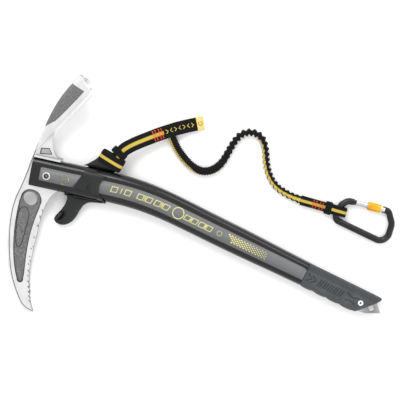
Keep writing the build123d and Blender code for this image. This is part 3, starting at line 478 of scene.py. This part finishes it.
def printed_film():
    """Grey side panel with a fine metallic grain."""
    panel = Finish("panel_film", tone("panel"), roughness=0.42, specular=0.3)
    place = panel.place(in_axe=True)
    grain = panel.noise(place, 2600.0, 2.0, 0.7)
    streak = panel.noise(panel.node("ShaderNodeMapping", ((0, place), (3, (30.0, 260.0, 30.0)))), 1.0, 3.0)
    low = panel.mix(grain, tone("panel", 0.72), tone("panel", 1.3))
    panel.paint(panel.mix(panel.times(streak, 0.35), low, tone("panel", 1.5)))
    panel.dull(grain, 0.34, 0.5)
    panel.bump(grain, 0.12, 0.0001)
    return panel.material


def backdrop():
    """Pale floor with a faint variation."""
    pale = Finish("stage_floor", (0.86, 0.86, 0.86), roughness=0.7)
    cloud = pale.noise(pale.place(), 3.0)
    pale.paint(pale.mix(cloud, (0.85, 0.85, 0.85), (0.88, 0.88, 0.88)))
    return pale.material


def new_piece(name, mesh, material, body):
    """Object for a finished mesh, riding on its body, with its texture slot."""
    piece = bpy.data.objects.new(name, mesh)
    bpy.context.scene.collection.objects.link(piece)
    mesh.materials.append(material)
    mesh.shade_smooth()
    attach(piece, body)
    return piece


def mesh_of(shape, name, wall=0.0):
    """Mesh of a bmesh, with its normals outside, after its sheets get a wall if asked."""
    if wall:
        bmesh.ops.solidify(shape, geom=shape.faces[:], thickness=wall)
    bmesh.ops.recalc_face_normals(shape, faces=shape.faces)
    mesh = bpy.data.meshes.new(name)
    shape.to_mesh(mesh)
    shape.free()
    return mesh


def curve_mesh(name, kind, lines, **settings):
    """Mesh of a curve with a spline of that kind along each line of points."""
    curve = bpy.data.curves.new(name, "CURVE")
    curve.dimensions = "3D"
    for key, value in settings.items():
        setattr(curve, key, value)
    for points in lines:
        spline = curve.splines.new(kind)
        spline.points.add(len(points) - 1)
        for target, point in zip(spline.points, points):
            target.co = (*point, 1.0)
        if kind == "NURBS":
            spline.order_u = 3
            spline.use_endpoint_u = True
    holder = bpy.data.objects.new(name, curve)
    bpy.context.scene.collection.objects.link(holder)
    mesh = bpy.data.meshes.new_from_object(holder)
    bpy.data.objects.remove(holder)
    bpy.data.curves.remove(curve)
    mesh.materials.clear()
    return mesh


def smooth_route(points, step):
    """Points at equal steps along a quadratic curve with those control points, and its length."""
    line = curve_mesh("route", "NURBS", [points], resolution_u=24)
    places = [vertex.co.copy() for vertex in line.vertices]
    bpy.data.meshes.remove(line)
    walked = [0.0]
    for before, after in zip(places, places[1:]):
        walked.append(walked[-1] + (after - before).length)
    count = max(2, round(walked[-1] / step))
    even = []
    index = 0
    for number in range(count + 1):
        target = walked[-1] * number / count
        while index < len(places) - 2 and walked[index + 1] < target:
            index += 1
        share = (target - walked[index]) / max(walked[index + 1] - walked[index], 1e-9)
        even.append(places[index].lerp(places[index + 1], share))
    return even, walked[-1]


def stations(points, across_at, closed=False):
    """Run and matrix at each point: X across as the rule says for a direction, Y up, Z along."""
    places = []
    run = 0.0
    last = len(points) - 1
    for index, point in enumerate(points):
        before = points[index - 1 if closed else max(index - 1, 0)]
        after = points[(index + 1) % len(points) if closed else min(index + 1, last)]
        along = (after - before).normalized()
        across = across_at(along)
        turn = Matrix((across, along.cross(across), along)).transposed().to_4x4()
        if index:
            run += (point - points[index - 1]).length
        places.append((run, Matrix.Translation(point) @ turn))
    return places


def level(up):
    """Rule that keeps a section level: it lies across the route and square to an up direction."""
    return lambda along: up.cross(along).normalized()


def swept(name, places, section, cloth, segments=24, closed=False):
    """Mesh of a ring extruded from station to station, with a map of its run and its ring."""
    shape = bmesh.new()
    turn_layer = shape.verts.layers.float.new("turn")
    run_layer = shape.verts.layers.float.new("run")
    layer = shape.loops.layers.uv.new("cloth")
    ring = bmesh.ops.create_circle(shape, segments=segments, radius=1.0)["verts"]
    for vertex in ring:
        vertex[turn_layer] = (math.atan2(vertex.co.y, vertex.co.x) / (2 * math.pi)) % 1.0
    edges = shape.edges[:]
    first_edges = edges
    for index, (run, place) in enumerate(places):
        if index:
            grown = bmesh.ops.extrude_edge_only(shape, edges=edges)["geom"]
            ring = [item for item in grown if isinstance(item, bmesh.types.BMVert)]
            edges = [item for item in grown if isinstance(item, bmesh.types.BMEdge)]
        for vertex in ring:
            vertex[run_layer] = run
            vertex.co = place @ section(run, vertex[turn_layer])
    if closed:
        bmesh.ops.bridge_loops(shape, edges=first_edges + edges)
    else:
        bmesh.ops.holes_fill(shape, edges=shape.edges, sides=segments)
    length = places[-1][0]
    for face in shape.faces:
        turns = [loop.vert[turn_layer] for loop in face.loops]
        runs = [loop.vert[run_layer] for loop in face.loops]
        for loop in face.loops:
            turn = loop.vert[turn_layer]
            run = loop.vert[run_layer]
            turn += 1.0 if max(turns) - min(turns) > 0.5 and turn < 0.5 and len(face.verts) == 4 else 0.0
            run += length if closed and max(runs) - min(runs) > length / 2 and run < length / 2 else 0.0
            loop[layer].uv = cloth(run, turn)
    return mesh_of(shape, name)


def flat_section(width, thick):
    """Section of a webbing: a flat ring with round edges."""
    def section(_, turn):
        angle = 2 * math.pi * turn
        side, height = math.cos(angle), math.sin(angle)
        return Vector((math.copysign(abs(side) ** 0.55, side) * width / 2,
                       math.copysign(abs(height) ** 0.75, height) * thick / 2, 0))
    return section


def flat_cloth(run, turn):
    """Map of a webbing: its run, and its place across from nought to one."""
    side = math.cos(2 * math.pi * turn)
    return run, 0.5 + math.copysign(abs(side) ** 0.55, side) / 2


def loop_places(centre, long_way, high_way, half_long, half_high, count, power=0.5):
    """Stations round a flat loop, with its outside up."""
    points = []
    for number in range(count):
        angle = 2 * math.pi * number / count
        x, y = math.cos(angle), math.sin(angle)
        points.append(centre + long_way * math.copysign(abs(x) ** power, x) * half_long
                      + high_way * math.copysign(abs(y) ** power, y) * half_high)
    outward = long_way.cross(high_way).normalized()
    return stations(points, lambda along: outward, closed=True)


def threads(name, lines, radius, material, body):
    """Piece made of round threads along lines of points."""
    mesh = curve_mesh(name, "POLY", lines, bevel_depth=radius, bevel_resolution=2, use_fill_caps=True)
    return new_piece(name, mesh, material, body)


def band(name, places, width, thick, material, closed=False):
    """Piece of webbing along its stations, riding with the hand rest."""
    mesh = swept(name, places, flat_section(width, thick), flat_cloth, closed=closed)
    return new_piece(name, mesh, material, "trigger")


def place_at(places, run):
    """Matrix of the station nearest to a run."""
    return min(places, key=lambda item: abs(item[0] - run))[1]


def bar_tack(place, half_length, radius):
    """Zigzag line of thread across a webbing."""
    line = []
    for number in range(TACK_TURNS + 1):
        across = -half_length + 2 * half_length * number / TACK_TURNS
        along = TACK_HALF_WIDTH if number % 2 else -TACK_HALF_WIDTH
        line.append(place @ Vector((across, radius * 0.4, along)))
    return line


def moulded_copy(node, name, voxel, rounds, material, body):
    """Copy of a CAD node with its edges melted as moulding leaves them, standing for the node."""
    shape = bmesh.new()
    shape.from_mesh(NODES[node].data)
    bmesh.ops.remove_doubles(shape, verts=shape.verts, dist=0.00001)
    merged = bpy.data.meshes.new(name)
    shape.to_mesh(merged)
    shape.free()
    holder = bpy.data.objects.new(name, merged)
    bpy.context.scene.collection.objects.link(holder)
    modifier = holder.modifiers.new("melt", "REMESH")
    modifier.mode = "VOXEL"
    modifier.voxel_size = voxel
    graph = bpy.context.evaluated_depsgraph_get()
    melted = bpy.data.meshes.new_from_object(holder.evaluated_get(graph))
    bpy.data.objects.remove(holder)
    smoothed = bmesh.new()
    smoothed.from_mesh(melted)
    for _ in range(rounds):
        bmesh.ops.smooth_vert(smoothed, verts=smoothed.verts, factor=0.5, use_axis_x=True, use_axis_y=True,
                              use_axis_z=True)
    mesh = mesh_of(smoothed, name)
    piece = new_piece(name, mesh, material, body)
    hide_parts(node)
    return piece


def strip(rows, lift):
    """Flat film through pairs of points, given by the run, the low and the high offset of each pair."""
    shape = bmesh.new()
    share = shape.verts.layers.int.new("high")
    run, low, high = rows[0]
    pair = [shape.verts.new(shaft_place(run, low, lift)), shape.verts.new(shaft_place(run, high, lift))]
    edge = shape.edges.new(pair)
    pair[1][share] = 1
    for run, low, high in rows[1:]:
        grown = bmesh.ops.extrude_edge_only(shape, edges=[edge])["geom"]
        edge = next(item for item in grown if isinstance(item, bmesh.types.BMEdge))
        for vertex in edge.verts:
            vertex.co = shaft_place(run, high if vertex[share] else low, lift)
    return shape


class AXE_OT_cad_finishes(bpy.types.Operator):
    """Gives each CAD piece that stays in sight its finish"""
    bl_idname = "axe.cad_finishes"
    bl_label = "CAD finishes"

    def execute(self, context):
        black = grained("dark_moulding", tone("nylon"), 0.5, 900.0, 0.2)
        pin = grained("pin_steel", (0.55, 0.55, 0.54), 0.3, 700.0, 0.08, metallic=1.0)
        bolt = hidden_socket("bolt_steel", (0.66, 0.65, 0.58), head_point(BOLT_AT), 0.0033)
        finishes = {
            "head_forging": forged_steel(),
            "shaft_tube": lacquer(),
            "head_cheek_near": black, "head_cheek_far": black, "spike_plug": black, "trigger_liner": black,
            "head_bolt": bolt, "head_bolt_nut": bolt,
            "rating_badge_near": grained("badge_film", tone("panel"), 0.4, 1500.0, 0.1, coat=0.2),
            "spike": grained("blasted_steel", (0.30, 0.30, 0.30), 0.4, 1200.0, 0.15, metallic=1.0),
            "spike_rivet": grained("rivet_steel", (0.70, 0.70, 0.68), 0.25, 900.0, 0.08, metallic=1.0),
            "trigger_insert": grained("insert_rubber", (0.012, 0.012, 0.012), 0.7, 1400.0, 0.25),
            "carabiner_frame": grained("dark_anodising", tone("anodised"), 0.33, 1100.0, 0.08, metallic=0.6,
                                       coat=0.3),
            "carabiner_gate": grained("bright_anodising", (0.52, 0.52, 0.52), 0.28, 1300.0, 0.06,
                                      metallic=1.0),
            "gate_pin": pin, "gate_spring": pin,
            "lock_sleeve": grained("gold_anodising", tone("gold"), 0.32, 1300.0, 0.2, metallic=0.85,
                                   coat=0.2),
        }
        finishes["rating_badge_far"] = finishes["rating_badge_near"]
        for node, finish in finishes.items():
            NODES[node].data.materials.clear()
            NODES[node].data.materials.append(finish)
        return {"FINISHED"}


def head_point(place):
    """Point beside the shaft's head end, in the axe's plane, in millimetres."""
    run, offset = place
    point = AXE.inverted() @ shaft_place(run, offset, 0.0) / MM
    return point.x, point.y


class AXE_OT_moulded(bpy.types.Operator):
    """Makes the hand rest and the grip with melted edges"""
    bl_idname = "axe.moulded"
    bl_label = "Hand rest and grip"

    def execute(self, context):
        nylon = grained("satin_nylon", tone("nylon"), 0.40, 700.0, 0.28)
        moulded_copy("trigger_body", "hand_rest", 0.0009, 60, nylon, "trigger")
        moulded_copy("grip_sleeve", "grip", 0.0007, 3, rubber_grip(), "axe")
        return {"FINISHED"}


class AXE_OT_panels(bpy.types.Operator):
    """Lays the grey panels on both sides of the shaft, with dark rims of painted shade along their edges"""
    bl_idname = "axe.panels"
    bl_label = "Shaft panels"

    def execute(self, context):
        film = printed_film()
        # Painted shade: a dark strip a little wider than each panel lies under it, so a dark rim shows along its
        # long edges where its step is shaded.
        edge_shade = grained("panel_border", (0.006, 0.006, 0.006), 0.45, 1500.0, 0.1)
        half = sizes().panel_width / MM / 2
        runs = [90 + 4 * number for number in range(74)]
        end = HEAD_RUN + BEND_LENGTH + GRIP_START_X - BEND_END_X - 0.3
        long_rows = [(run, -half, half) for run in runs if run < end - 2]
        long_rows = [(90 - half * math.sin(turn), -half * math.cos(turn), half * math.cos(turn))
                     for turn in (1.45, 1.2, 0.9, 0.6, 0.3)] + long_rows
        narrow_end = [(run, self.low(run, low), high) for run, low, high in long_rows] + [(end, -6.6, 6.8)]
        head_rows = [(11.8, -half + 1.5, half - 1.5), (12.6, -half + 0.4, half - 0.4), (14.2, -half, half)]
        head_rows += [(run, -half, half) for run in (30, 50, 72)]
        for side, label in ((1, "near"), (-1, "far")):
            for name, rows in (("head_panel", head_rows), ("long_panel", narrow_end)):
                wide = [(run, low - 0.75, high + 0.75) for run, low, high in rows]
                under = mesh_of(strip(wide, side * (SHAFT_SIDE + 0.02)), name, sizes().film)
                new_piece(f"{name}_border_{label}", under, edge_shade, "axe")
                over = mesh_of(strip(rows, side * (SHAFT_SIDE + 0.06)), name, sizes().film)
                new_piece(f"{name}_{label}", over, film, "axe")
        return {"FINISHED"}

    def low(self, run, offset):
        """Lower edge of the panel, which narrows toward the grip as the shaft does."""
        return offset + 2.0 * max(0.0, (run - 250.0) / 120.0)


def print_or_shadow_shape(shape, kind, run, offset, size, lift):
    """One mark on the shaft's side: a printed slanted frame or bar, a dot or a ring, or a disc of painted shadow.
    """
    segments = {"frame": 4, "bar": 4, "dot": 6, "ring": 20, "disc": 24}[kind]
    square = segments == 4
    corners = bmesh.ops.create_circle(shape, cap_ends=True, segments=segments,
                                      radius=0.7071 if square else 0.5)["verts"]
    face = corners[0].link_faces[0]
    if kind in ("frame", "ring"):
        rim = bmesh.ops.inset_individual(shape, faces=[face],
                                         thickness=0.17 if kind == "frame" else 0.075)["faces"]
        corners = list({vertex for item in rim + [face] for vertex in item.verts})
        bmesh.ops.delete(shape, geom=[face], context="FACES_ONLY")
    quarter = Matrix.Rotation(math.pi / 4, 3, "Z") if square else Matrix.Identity(3)
    width, height = size
    for vertex in corners:
        spot = quarter @ vertex.co
        slant = 0.22 * spot.y * height if kind in ("frame", "bar") else 0.0
        vertex.co = shaft_place(run + spot.x * width + slant, offset + spot.y * height, lift)


class AXE_OT_print(bpy.types.Operator):
    """Prints plain marks on the panels: frames, bars, rings and a field of dots, and puts a black disc of painted
    shadow in each bolt socket
    """
    bl_idname = "axe.print"
    bl_label = "Printed marks"

    def execute(self, context):
        ink = grained("print_ink", tone("ink"), 0.5, 1600.0, 0.08, contrast=0.08)
        for side, label in ((1, "near"), (-1, "far")):
            shape = bmesh.new()
            lift = side * (SHAFT_SIDE + 0.1)
            for kind, runs, offset, size in SHAFT_MARKS:
                for run in runs:
                    print_or_shadow_shape(shape, kind, run, offset, size, lift)
            self.dots(shape, lift)
            mesh = mesh_of(shape, f"print_{label}", sizes().film)
            new_piece(f"print_{label}", mesh, ink, "axe")
        badge = bmesh.new()
        for side in (1, -1):
            lift = side * (SHAFT_SIDE + 0.06)
            print_or_shadow_shape(badge, "ring", *BADGE_AT, (13.4, 13.4), lift)
            for step in (-1.3, 1.3):
                print_or_shadow_shape(badge, "bar", BADGE_AT[0] + step, BADGE_AT[1], (1.1, 3.6), lift)
        new_piece("badge_marks", mesh_of(badge, "badge_marks", sizes().film), ink, "axe")
        # Painted shadow: a black disc sits inside each bolt socket.
        socket = bmesh.new()
        for side in (1, -1):
            print_or_shadow_shape(socket, "disc", *BOLT_AT, (5.6, 5.6), side * (SHAFT_SIDE - 0.9))
        black = grained("socket_shadow", (0.004, 0.004, 0.004), 0.8, 1500.0, 0.1, specular=0.0)
        new_piece("bolt_sockets", mesh_of(socket, "bolt_sockets", 0.0003), black, "axe")
        return {"FINISHED"}

    def dots(self, shape, lift):
        """Field of dots that shrink toward the spike."""
        for column in range(26):
            for row in range(6):
                if (row + column) % 2:
                    continue
                share = column / 25
                size = 2.5 - 1.1 * share
                if column < 3 and row > 1 + column:
                    continue
                print_or_shadow_shape(shape, "dot", 263 + 2.1 * column, 4.6 - 1.62 * row, (size, size), lift)


class AXE_OT_head_lines(bpy.types.Operator):
    """Draws dark lines of painted shade round the head's pockets, along its back and at its teeth"""
    bl_idname = "axe.head_lines"
    bl_label = "Head grooves"

    def execute(self, context):
        # Painted shade: dark lines stand for the shade round the pockets, along the back and at the tooth roots.
        dark = grained("groove_shadow", (0.035, 0.035, 0.036), 0.6, 900.0, 0.1)
        lines = []
        for side in (1, -1):
            rim = side * (PLATE_SIDE - 0.1)
            route, _ = smooth_route([axe(x, y, rim) for x, y in SPINE], 0.002)
            lines.append(route)
            for points, height in ((PICK_OUTLINE, PLATE_SIDE - 0.05), (PICK_SHAPE, POCKET_FLOOR + 0.05)):
                ring = points + points[:2]
                route, _ = smooth_route([axe(x, y, side * height) for x, y in ring], 0.0012)
                lines.append(route)
            ring = [Vector(point) for point in WEB_OUTLINE + WEB_OUTLINE[:1]]
            lines.append([axe(*before.lerp(after, share / 8), rim)
                          for before, after in zip(ring, ring[1:]) for share in range(9)])
            for x, y in TOOTH_ROOTS:
                lines.append([axe(x - 1.2, y, side * PLATE_SIDE), axe(x - 3.0, y + 0.8, rim)])
        threads("pocket_grooves", lines, 0.0005, dark, "axe")
        return {"FINISHED"}


class AXE_OT_tab(bpy.types.Operator):
    """Makes the webbing hitch on the neck, the tab, its stitching and its label"""
    bl_idname = "axe.tab"
    bl_label = "Webbing tab"

    def execute(self, context):
        size = sizes()
        width, thick = size.web_width, size.web_thick
        plain = woven("plain_webbing", tone("web"), tone("web"), 0.01, 0.0013)
        turn = AXE.to_3x3()
        long_way = (turn @ Vector((0.995, -0.09, 0.0))).normalized()
        high_way = turn @ Vector((0.0, 0.0, 1.0))
        hitch = loop_places(axe(91.2, 21.0), long_way, high_way, 0.0154, 0.0068, 72)
        narrow = woven("hitch_webbing", tone("web"), tone("stripe"), 0.12, 0.0013)
        band("hitch_band", hitch, width * 0.96, thick * 0.9, narrow, closed=True)

        plane, route = self.tab_route(thick)
        up = plane.to_3x3() @ UP
        points, _ = smooth_route(route, 0.0011)
        places = stations(points, level(up))
        striped = woven("striped_webbing", tone("web"), tone("stripe"), size.stripe_share / 2, 0.0013,
                        places[-1][0] - STRIPE_BACK)
        tab = band("tab_webbing", places, width, thick, striped)
        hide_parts("leash_strap")

        along = (route[2] - route[0]).normalized()
        across = up.cross(along).normalized()
        knot = loop_places(route[1] - along * 0.003, across, up, 0.0094, 0.0031, 48, 0.7)
        band("knot_band", knot, 0.0085, 0.0020, plain, closed=True)
        self.stitches(places, thick, size.thread_radius)
        self.label(places, width, thick)
        return {"FINISHED"}

    def tab_route(self, thick):
        """The tab's plane and its route's points, in the frame."""
        across = Vector((1, 0, TAB_SLOPE[0])).normalized()
        up = Vector((-TAB_SLOPE[0], -TAB_SLOPE[1], 1)).normalized()
        plane = Matrix((across, up.cross(across), up)).transposed().to_4x4()
        plane = AXE @ Matrix.Translation(Vector(TAB_FOOT) * MM) @ plane
        return plane, [plane @ Vector((x * MM, y * MM, thick / 2)) for x, y in TAB_ROUTE]

    def stitches(self, places, thick, radius):
        """Red bar tacks across the tab."""
        red = grained("bar_tack_thread", tone("thread"), 0.6, 2200.0, 0.4)
        length = places[-1][0]
        lines = []
        for back in TAB_TACKS_BACK:
            top = place_at(places, length - back) @ Matrix.Translation(Vector((0, thick / 2, 0)))
            lines.append(bar_tack(top, 0.0066, radius))
        tacks = threads("tab_bar_tacks", lines, radius, red, "trigger")
        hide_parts("strap_bartacks")

    def label(self, places, width, thick):
        """Woven label folded over the tab's end, with plain marks."""
        cloth = woven("label_cloth", tone("label"), tone("label"), 0.01, 0.0008)
        length = places[-1][0]
        end = [(run - length + LABEL_LENGTH, place) for run, place in places if run > length - LABEL_LENGTH]
        piece = band("tab_label", end, width * 1.03, thick * 1.28, cloth)
        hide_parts("strap_label")
        dark = grained("mark_yarn", tone("stripe"), 0.8, 2200.0, 0.3)
        brown = grained("label_yarn", (0.10, 0.06, 0.02), 0.8, 2200.0, 0.3)
        place = place_at(places, length - LABEL_LENGTH / 2)
        ring = [place @ Vector((0.0028 * math.cos(turn), thick * 0.64, 0.0023 * math.sin(turn)))
                for turn in [0.4 + 5.4 * number / 20 for number in range(21)]]
        threads("label_mark", [ring], 0.00035, brown, "trigger")
        lines = []
        for number, back in enumerate(TAB_MARKS_BACK):
            place = place_at(places, length - back)
            tip = 0.0013 if number % 2 else -0.0013
            lines.append([place @ Vector((x, thick * 0.5, y))
                          for x, y in ((-0.0024, tip), (0.0, -tip), (0.0024, tip))])
        threads("tab_marks", lines, 0.0004, dark, "trigger")


class AXE_OT_leash(bpy.types.Operator):
    """Makes the gathered elastic leash and its end webbing round the carabiner"""
    bl_idname = "axe.leash"
    bl_label = "Elastic leash"

    def execute(self, context):
        size = sizes()
        striped = woven("leash_cloth", tone("web"), tone("stripe"), 0.075, 0.0026)
        points, length = smooth_route([floor(*point) for point in ELASTIC_ROUTE], 0.0005)
        places = stations(points, level(UP))
        radius = size.leash_diameter / 2

        def loose(run):
            """How loose the gathers are: dense at first, then open ruffles, and calm at the end."""
            return risen(run, 0.085, 0.05) * (0.35 + 0.65 * risen(length - run, 0.004, 0.05))

        def ruffled(run, turn):
            """Section of the leash: a ring with ruffles that wind round it."""
            open_share = loose(run)
            pitch = size.ruffle_pitch
            wave = math.cos(2 * math.pi * (run / pitch + turn))
            dense = math.cos(2 * math.pi * (run / (pitch * 0.42) + 2 * turn))
            depth = size.ruffle_depth * open_share * (0.5 - 0.5 * wave) + 0.00055 * (1 - open_share) * dense
            reach = radius - 0.0002 - depth
            flat = risen(run, length - 0.016, 0.013)
            angle = 2 * math.pi * turn
            return Vector(((reach + 0.0006 * flat) * math.cos(angle),
                           reach * (1 - 0.72 * flat) * math.sin(angle) + 0.0009 * flat, 0))

        def cloth(run, turn):
            """Map of the leash, turned so that its stripe winds from one side to the other."""
            share = run / length
            stripe_at = STRIPE_START
            for start, spread, turned in STRIPE_TURNS:
                stripe_at += turned * risen(share, start, spread)
            return run, turn - stripe_at + 0.5

        mesh = swept("leash", places, ruffled, cloth, 32)
        leash = new_piece("leash", mesh, striped, "trigger")
        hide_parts("leash_elastic")
        loop = self.end_webbing(size)
        return {"FINISHED"}

    def end_webbing(self, size):
        """End webbing: two sewn plies that open into a loop round the carabiner."""
        start = floor(*ELASTIC_ROUTE[-1][:2])
        tunnel = floor(*TUNNEL_AT)
        way = (tunnel - start).normalized()
        side = way.cross(UP)
        route = [tunnel + way * x * MM + Vector((0, 0, z * MM)) for x, z in END_LOOP]
        points, _ = smooth_route(route, 0.0008)
        places = stations(points, lambda along: side)
        striped = woven("end_webbing_cloth", tone("web"), tone("stripe"), 0.15, 0.0011)
        loop = band("leash_end_webbing", places, size.end_width, size.end_thick, striped)
        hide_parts("leash_end_strap")
        keeper = loop_places(tunnel - way * 0.0135 + UP * 0.0062, side, UP, 0.0074, 0.0047, 48)
        plain = woven("keeper_webbing", tone("web"), tone("web"), 0.01, 0.0013)
        band("end_keeper", keeper, 0.0085, 0.0016, plain, closed=True)
        red = grained("end_tack_thread", tone("thread"), 0.6, 2200.0, 0.4)
        place = Matrix((side, UP, way)).transposed().to_4x4()
        top = Matrix.Translation(tunnel + UP * 0.0085) @ place
        lines = [bar_tack(top @ Matrix.Translation(Vector((0, 0, step))), 0.0048, size.thread_radius)
                 for step in END_TACK_STEPS]
        tacks = threads("leash_end_tacks", lines, size.thread_radius, red, "trigger")
        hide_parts("leash_end_bartacks")
        return loop


class AXE_OT_grip_relief(bpy.types.Operator):
    """Adds the raised chevrons and bars on both sides of the grip, darkened as painted shade"""
    bl_idname = "axe.grip_relief"
    bl_label = "Grip relief"

    def execute(self, context):
        # Painted shade: the relief is the grip's own rubber, darkened to stand for its shading.
        rubber = grained("relief_rubber", tone("rubber", 0.42), 0.55, 1300.0, 0.2)
        lines = []
        for side in (1, -1):
            lines += [[axe(x, y, side * RELIEF_HEIGHT) for x, y in line] for line in GRIP_RELIEF]
        threads("grip_relief", lines, 0.0006, rubber, "axe")
        return {"FINISHED"}


class AXE_OT_stage(bpy.types.Operator):
    """Sets the pale floor, the soft lights and the camera"""
    bl_idname = "axe.stage"
    bl_label = "Stage"

    def execute(self, context):
        shape = bmesh.new()
        bmesh.ops.create_grid(shape, x_segments=1, y_segments=1, size=4.0)
        mesh = bpy.data.meshes.new("stage_floor")
        shape.to_mesh(mesh)
        shape.free()
        ground = bpy.data.objects.new("stage_floor", mesh)
        context.scene.collection.objects.link(ground)
        mesh.materials.append(backdrop())
        context.scene.view_settings.view_transform = "Standard"
        world = bpy.data.worlds.new("studio")
        context.scene.world = world
        world.use_nodes = True
        world.node_tree.nodes["Background"].inputs[0].default_value = (1.0, 1.0, 1.0, 1.0)
        world.node_tree.nodes["Background"].inputs[1].default_value = 1.2
        target = Vector(LOOK_AT)
        for name, place, size, power in LIGHTS:
            light = bpy.data.lights.new(name, "AREA")
            light.size = size
            light.energy = power
            holder = bpy.data.objects.new(name, light)
            holder.location = place
            holder.rotation_euler = (target - Vector(place)).to_track_quat("-Z", "Y").to_euler()
            context.scene.collection.objects.link(holder)
        self.camera(context, target)
        return {"FINISHED"}

    def camera(self, context, target):
        """Long lens almost straight above, turned so that the shaft runs down to the right."""
        distance, width, tilt = 1.6, 0.508, math.radians(7.0)
        back = Vector((0.0, math.sin(tilt), math.cos(tilt)))
        across = Vector((-0.440, 0.898, 0.0)).cross(back).normalized()
        lens = bpy.data.cameras.new("camera")
        lens.sensor_width = 36.0
        lens.lens = 36.0 * distance / width
        lens.clip_end = 20.0
        eye = bpy.data.objects.new("camera", lens)
        eye.matrix_world = (Matrix.Translation(target + back * distance)
                            @ Matrix((across, back.cross(across), back)).transposed().to_4x4())
        context.scene.collection.objects.link(eye)
        context.scene.camera = eye


class AXE_PT_panel(bpy.types.Panel):
    """Sidebar panel with the axe's operators"""
    bl_idname = "AXE_PT_panel"
    bl_label = "Ice Axe"
    bl_space_type = "VIEW_3D"
    bl_region_type = "UI"
    bl_category = "Ice Axe"

    def draw(self, context):
        for operator in OPERATORS:
            self.layout.operator(operator.bl_idname)


OPERATORS = (AXE_OT_cad_finishes, AXE_OT_moulded, AXE_OT_panels, AXE_OT_print, AXE_OT_head_lines, AXE_OT_tab,
             AXE_OT_leash, AXE_OT_grip_relief, AXE_OT_stage)
CLASSES = (AxeSizes, AxeColours) + OPERATORS + (AXE_PT_panel,)


def register():
    """Register the classes and the scene's properties."""
    for item in CLASSES:
        bpy.utils.register_class(item)
    bpy.types.Scene.axe_sizes = bpy.props.PointerProperty(type=AxeSizes)
    bpy.types.Scene.axe_colours = bpy.props.PointerProperty(type=AxeColours)


def unregister():
    """Remove the scene's properties and the classes."""
    del bpy.types.Scene.axe_colours
    del bpy.types.Scene.axe_sizes
    for item in reversed(CLASSES):
        bpy.utils.unregister_class(item)


def main():
    """Build every piece."""
    register()
    bpy.ops.axe.cad_finishes()
    bpy.ops.axe.moulded()
    bpy.ops.axe.panels()
    bpy.ops.axe.print()
    bpy.ops.axe.head_lines()
    bpy.ops.axe.tab()
    bpy.ops.axe.leash()
    bpy.ops.axe.grip_relief()
    bpy.ops.axe.stage()


if __name__ == "__main__":
    main()
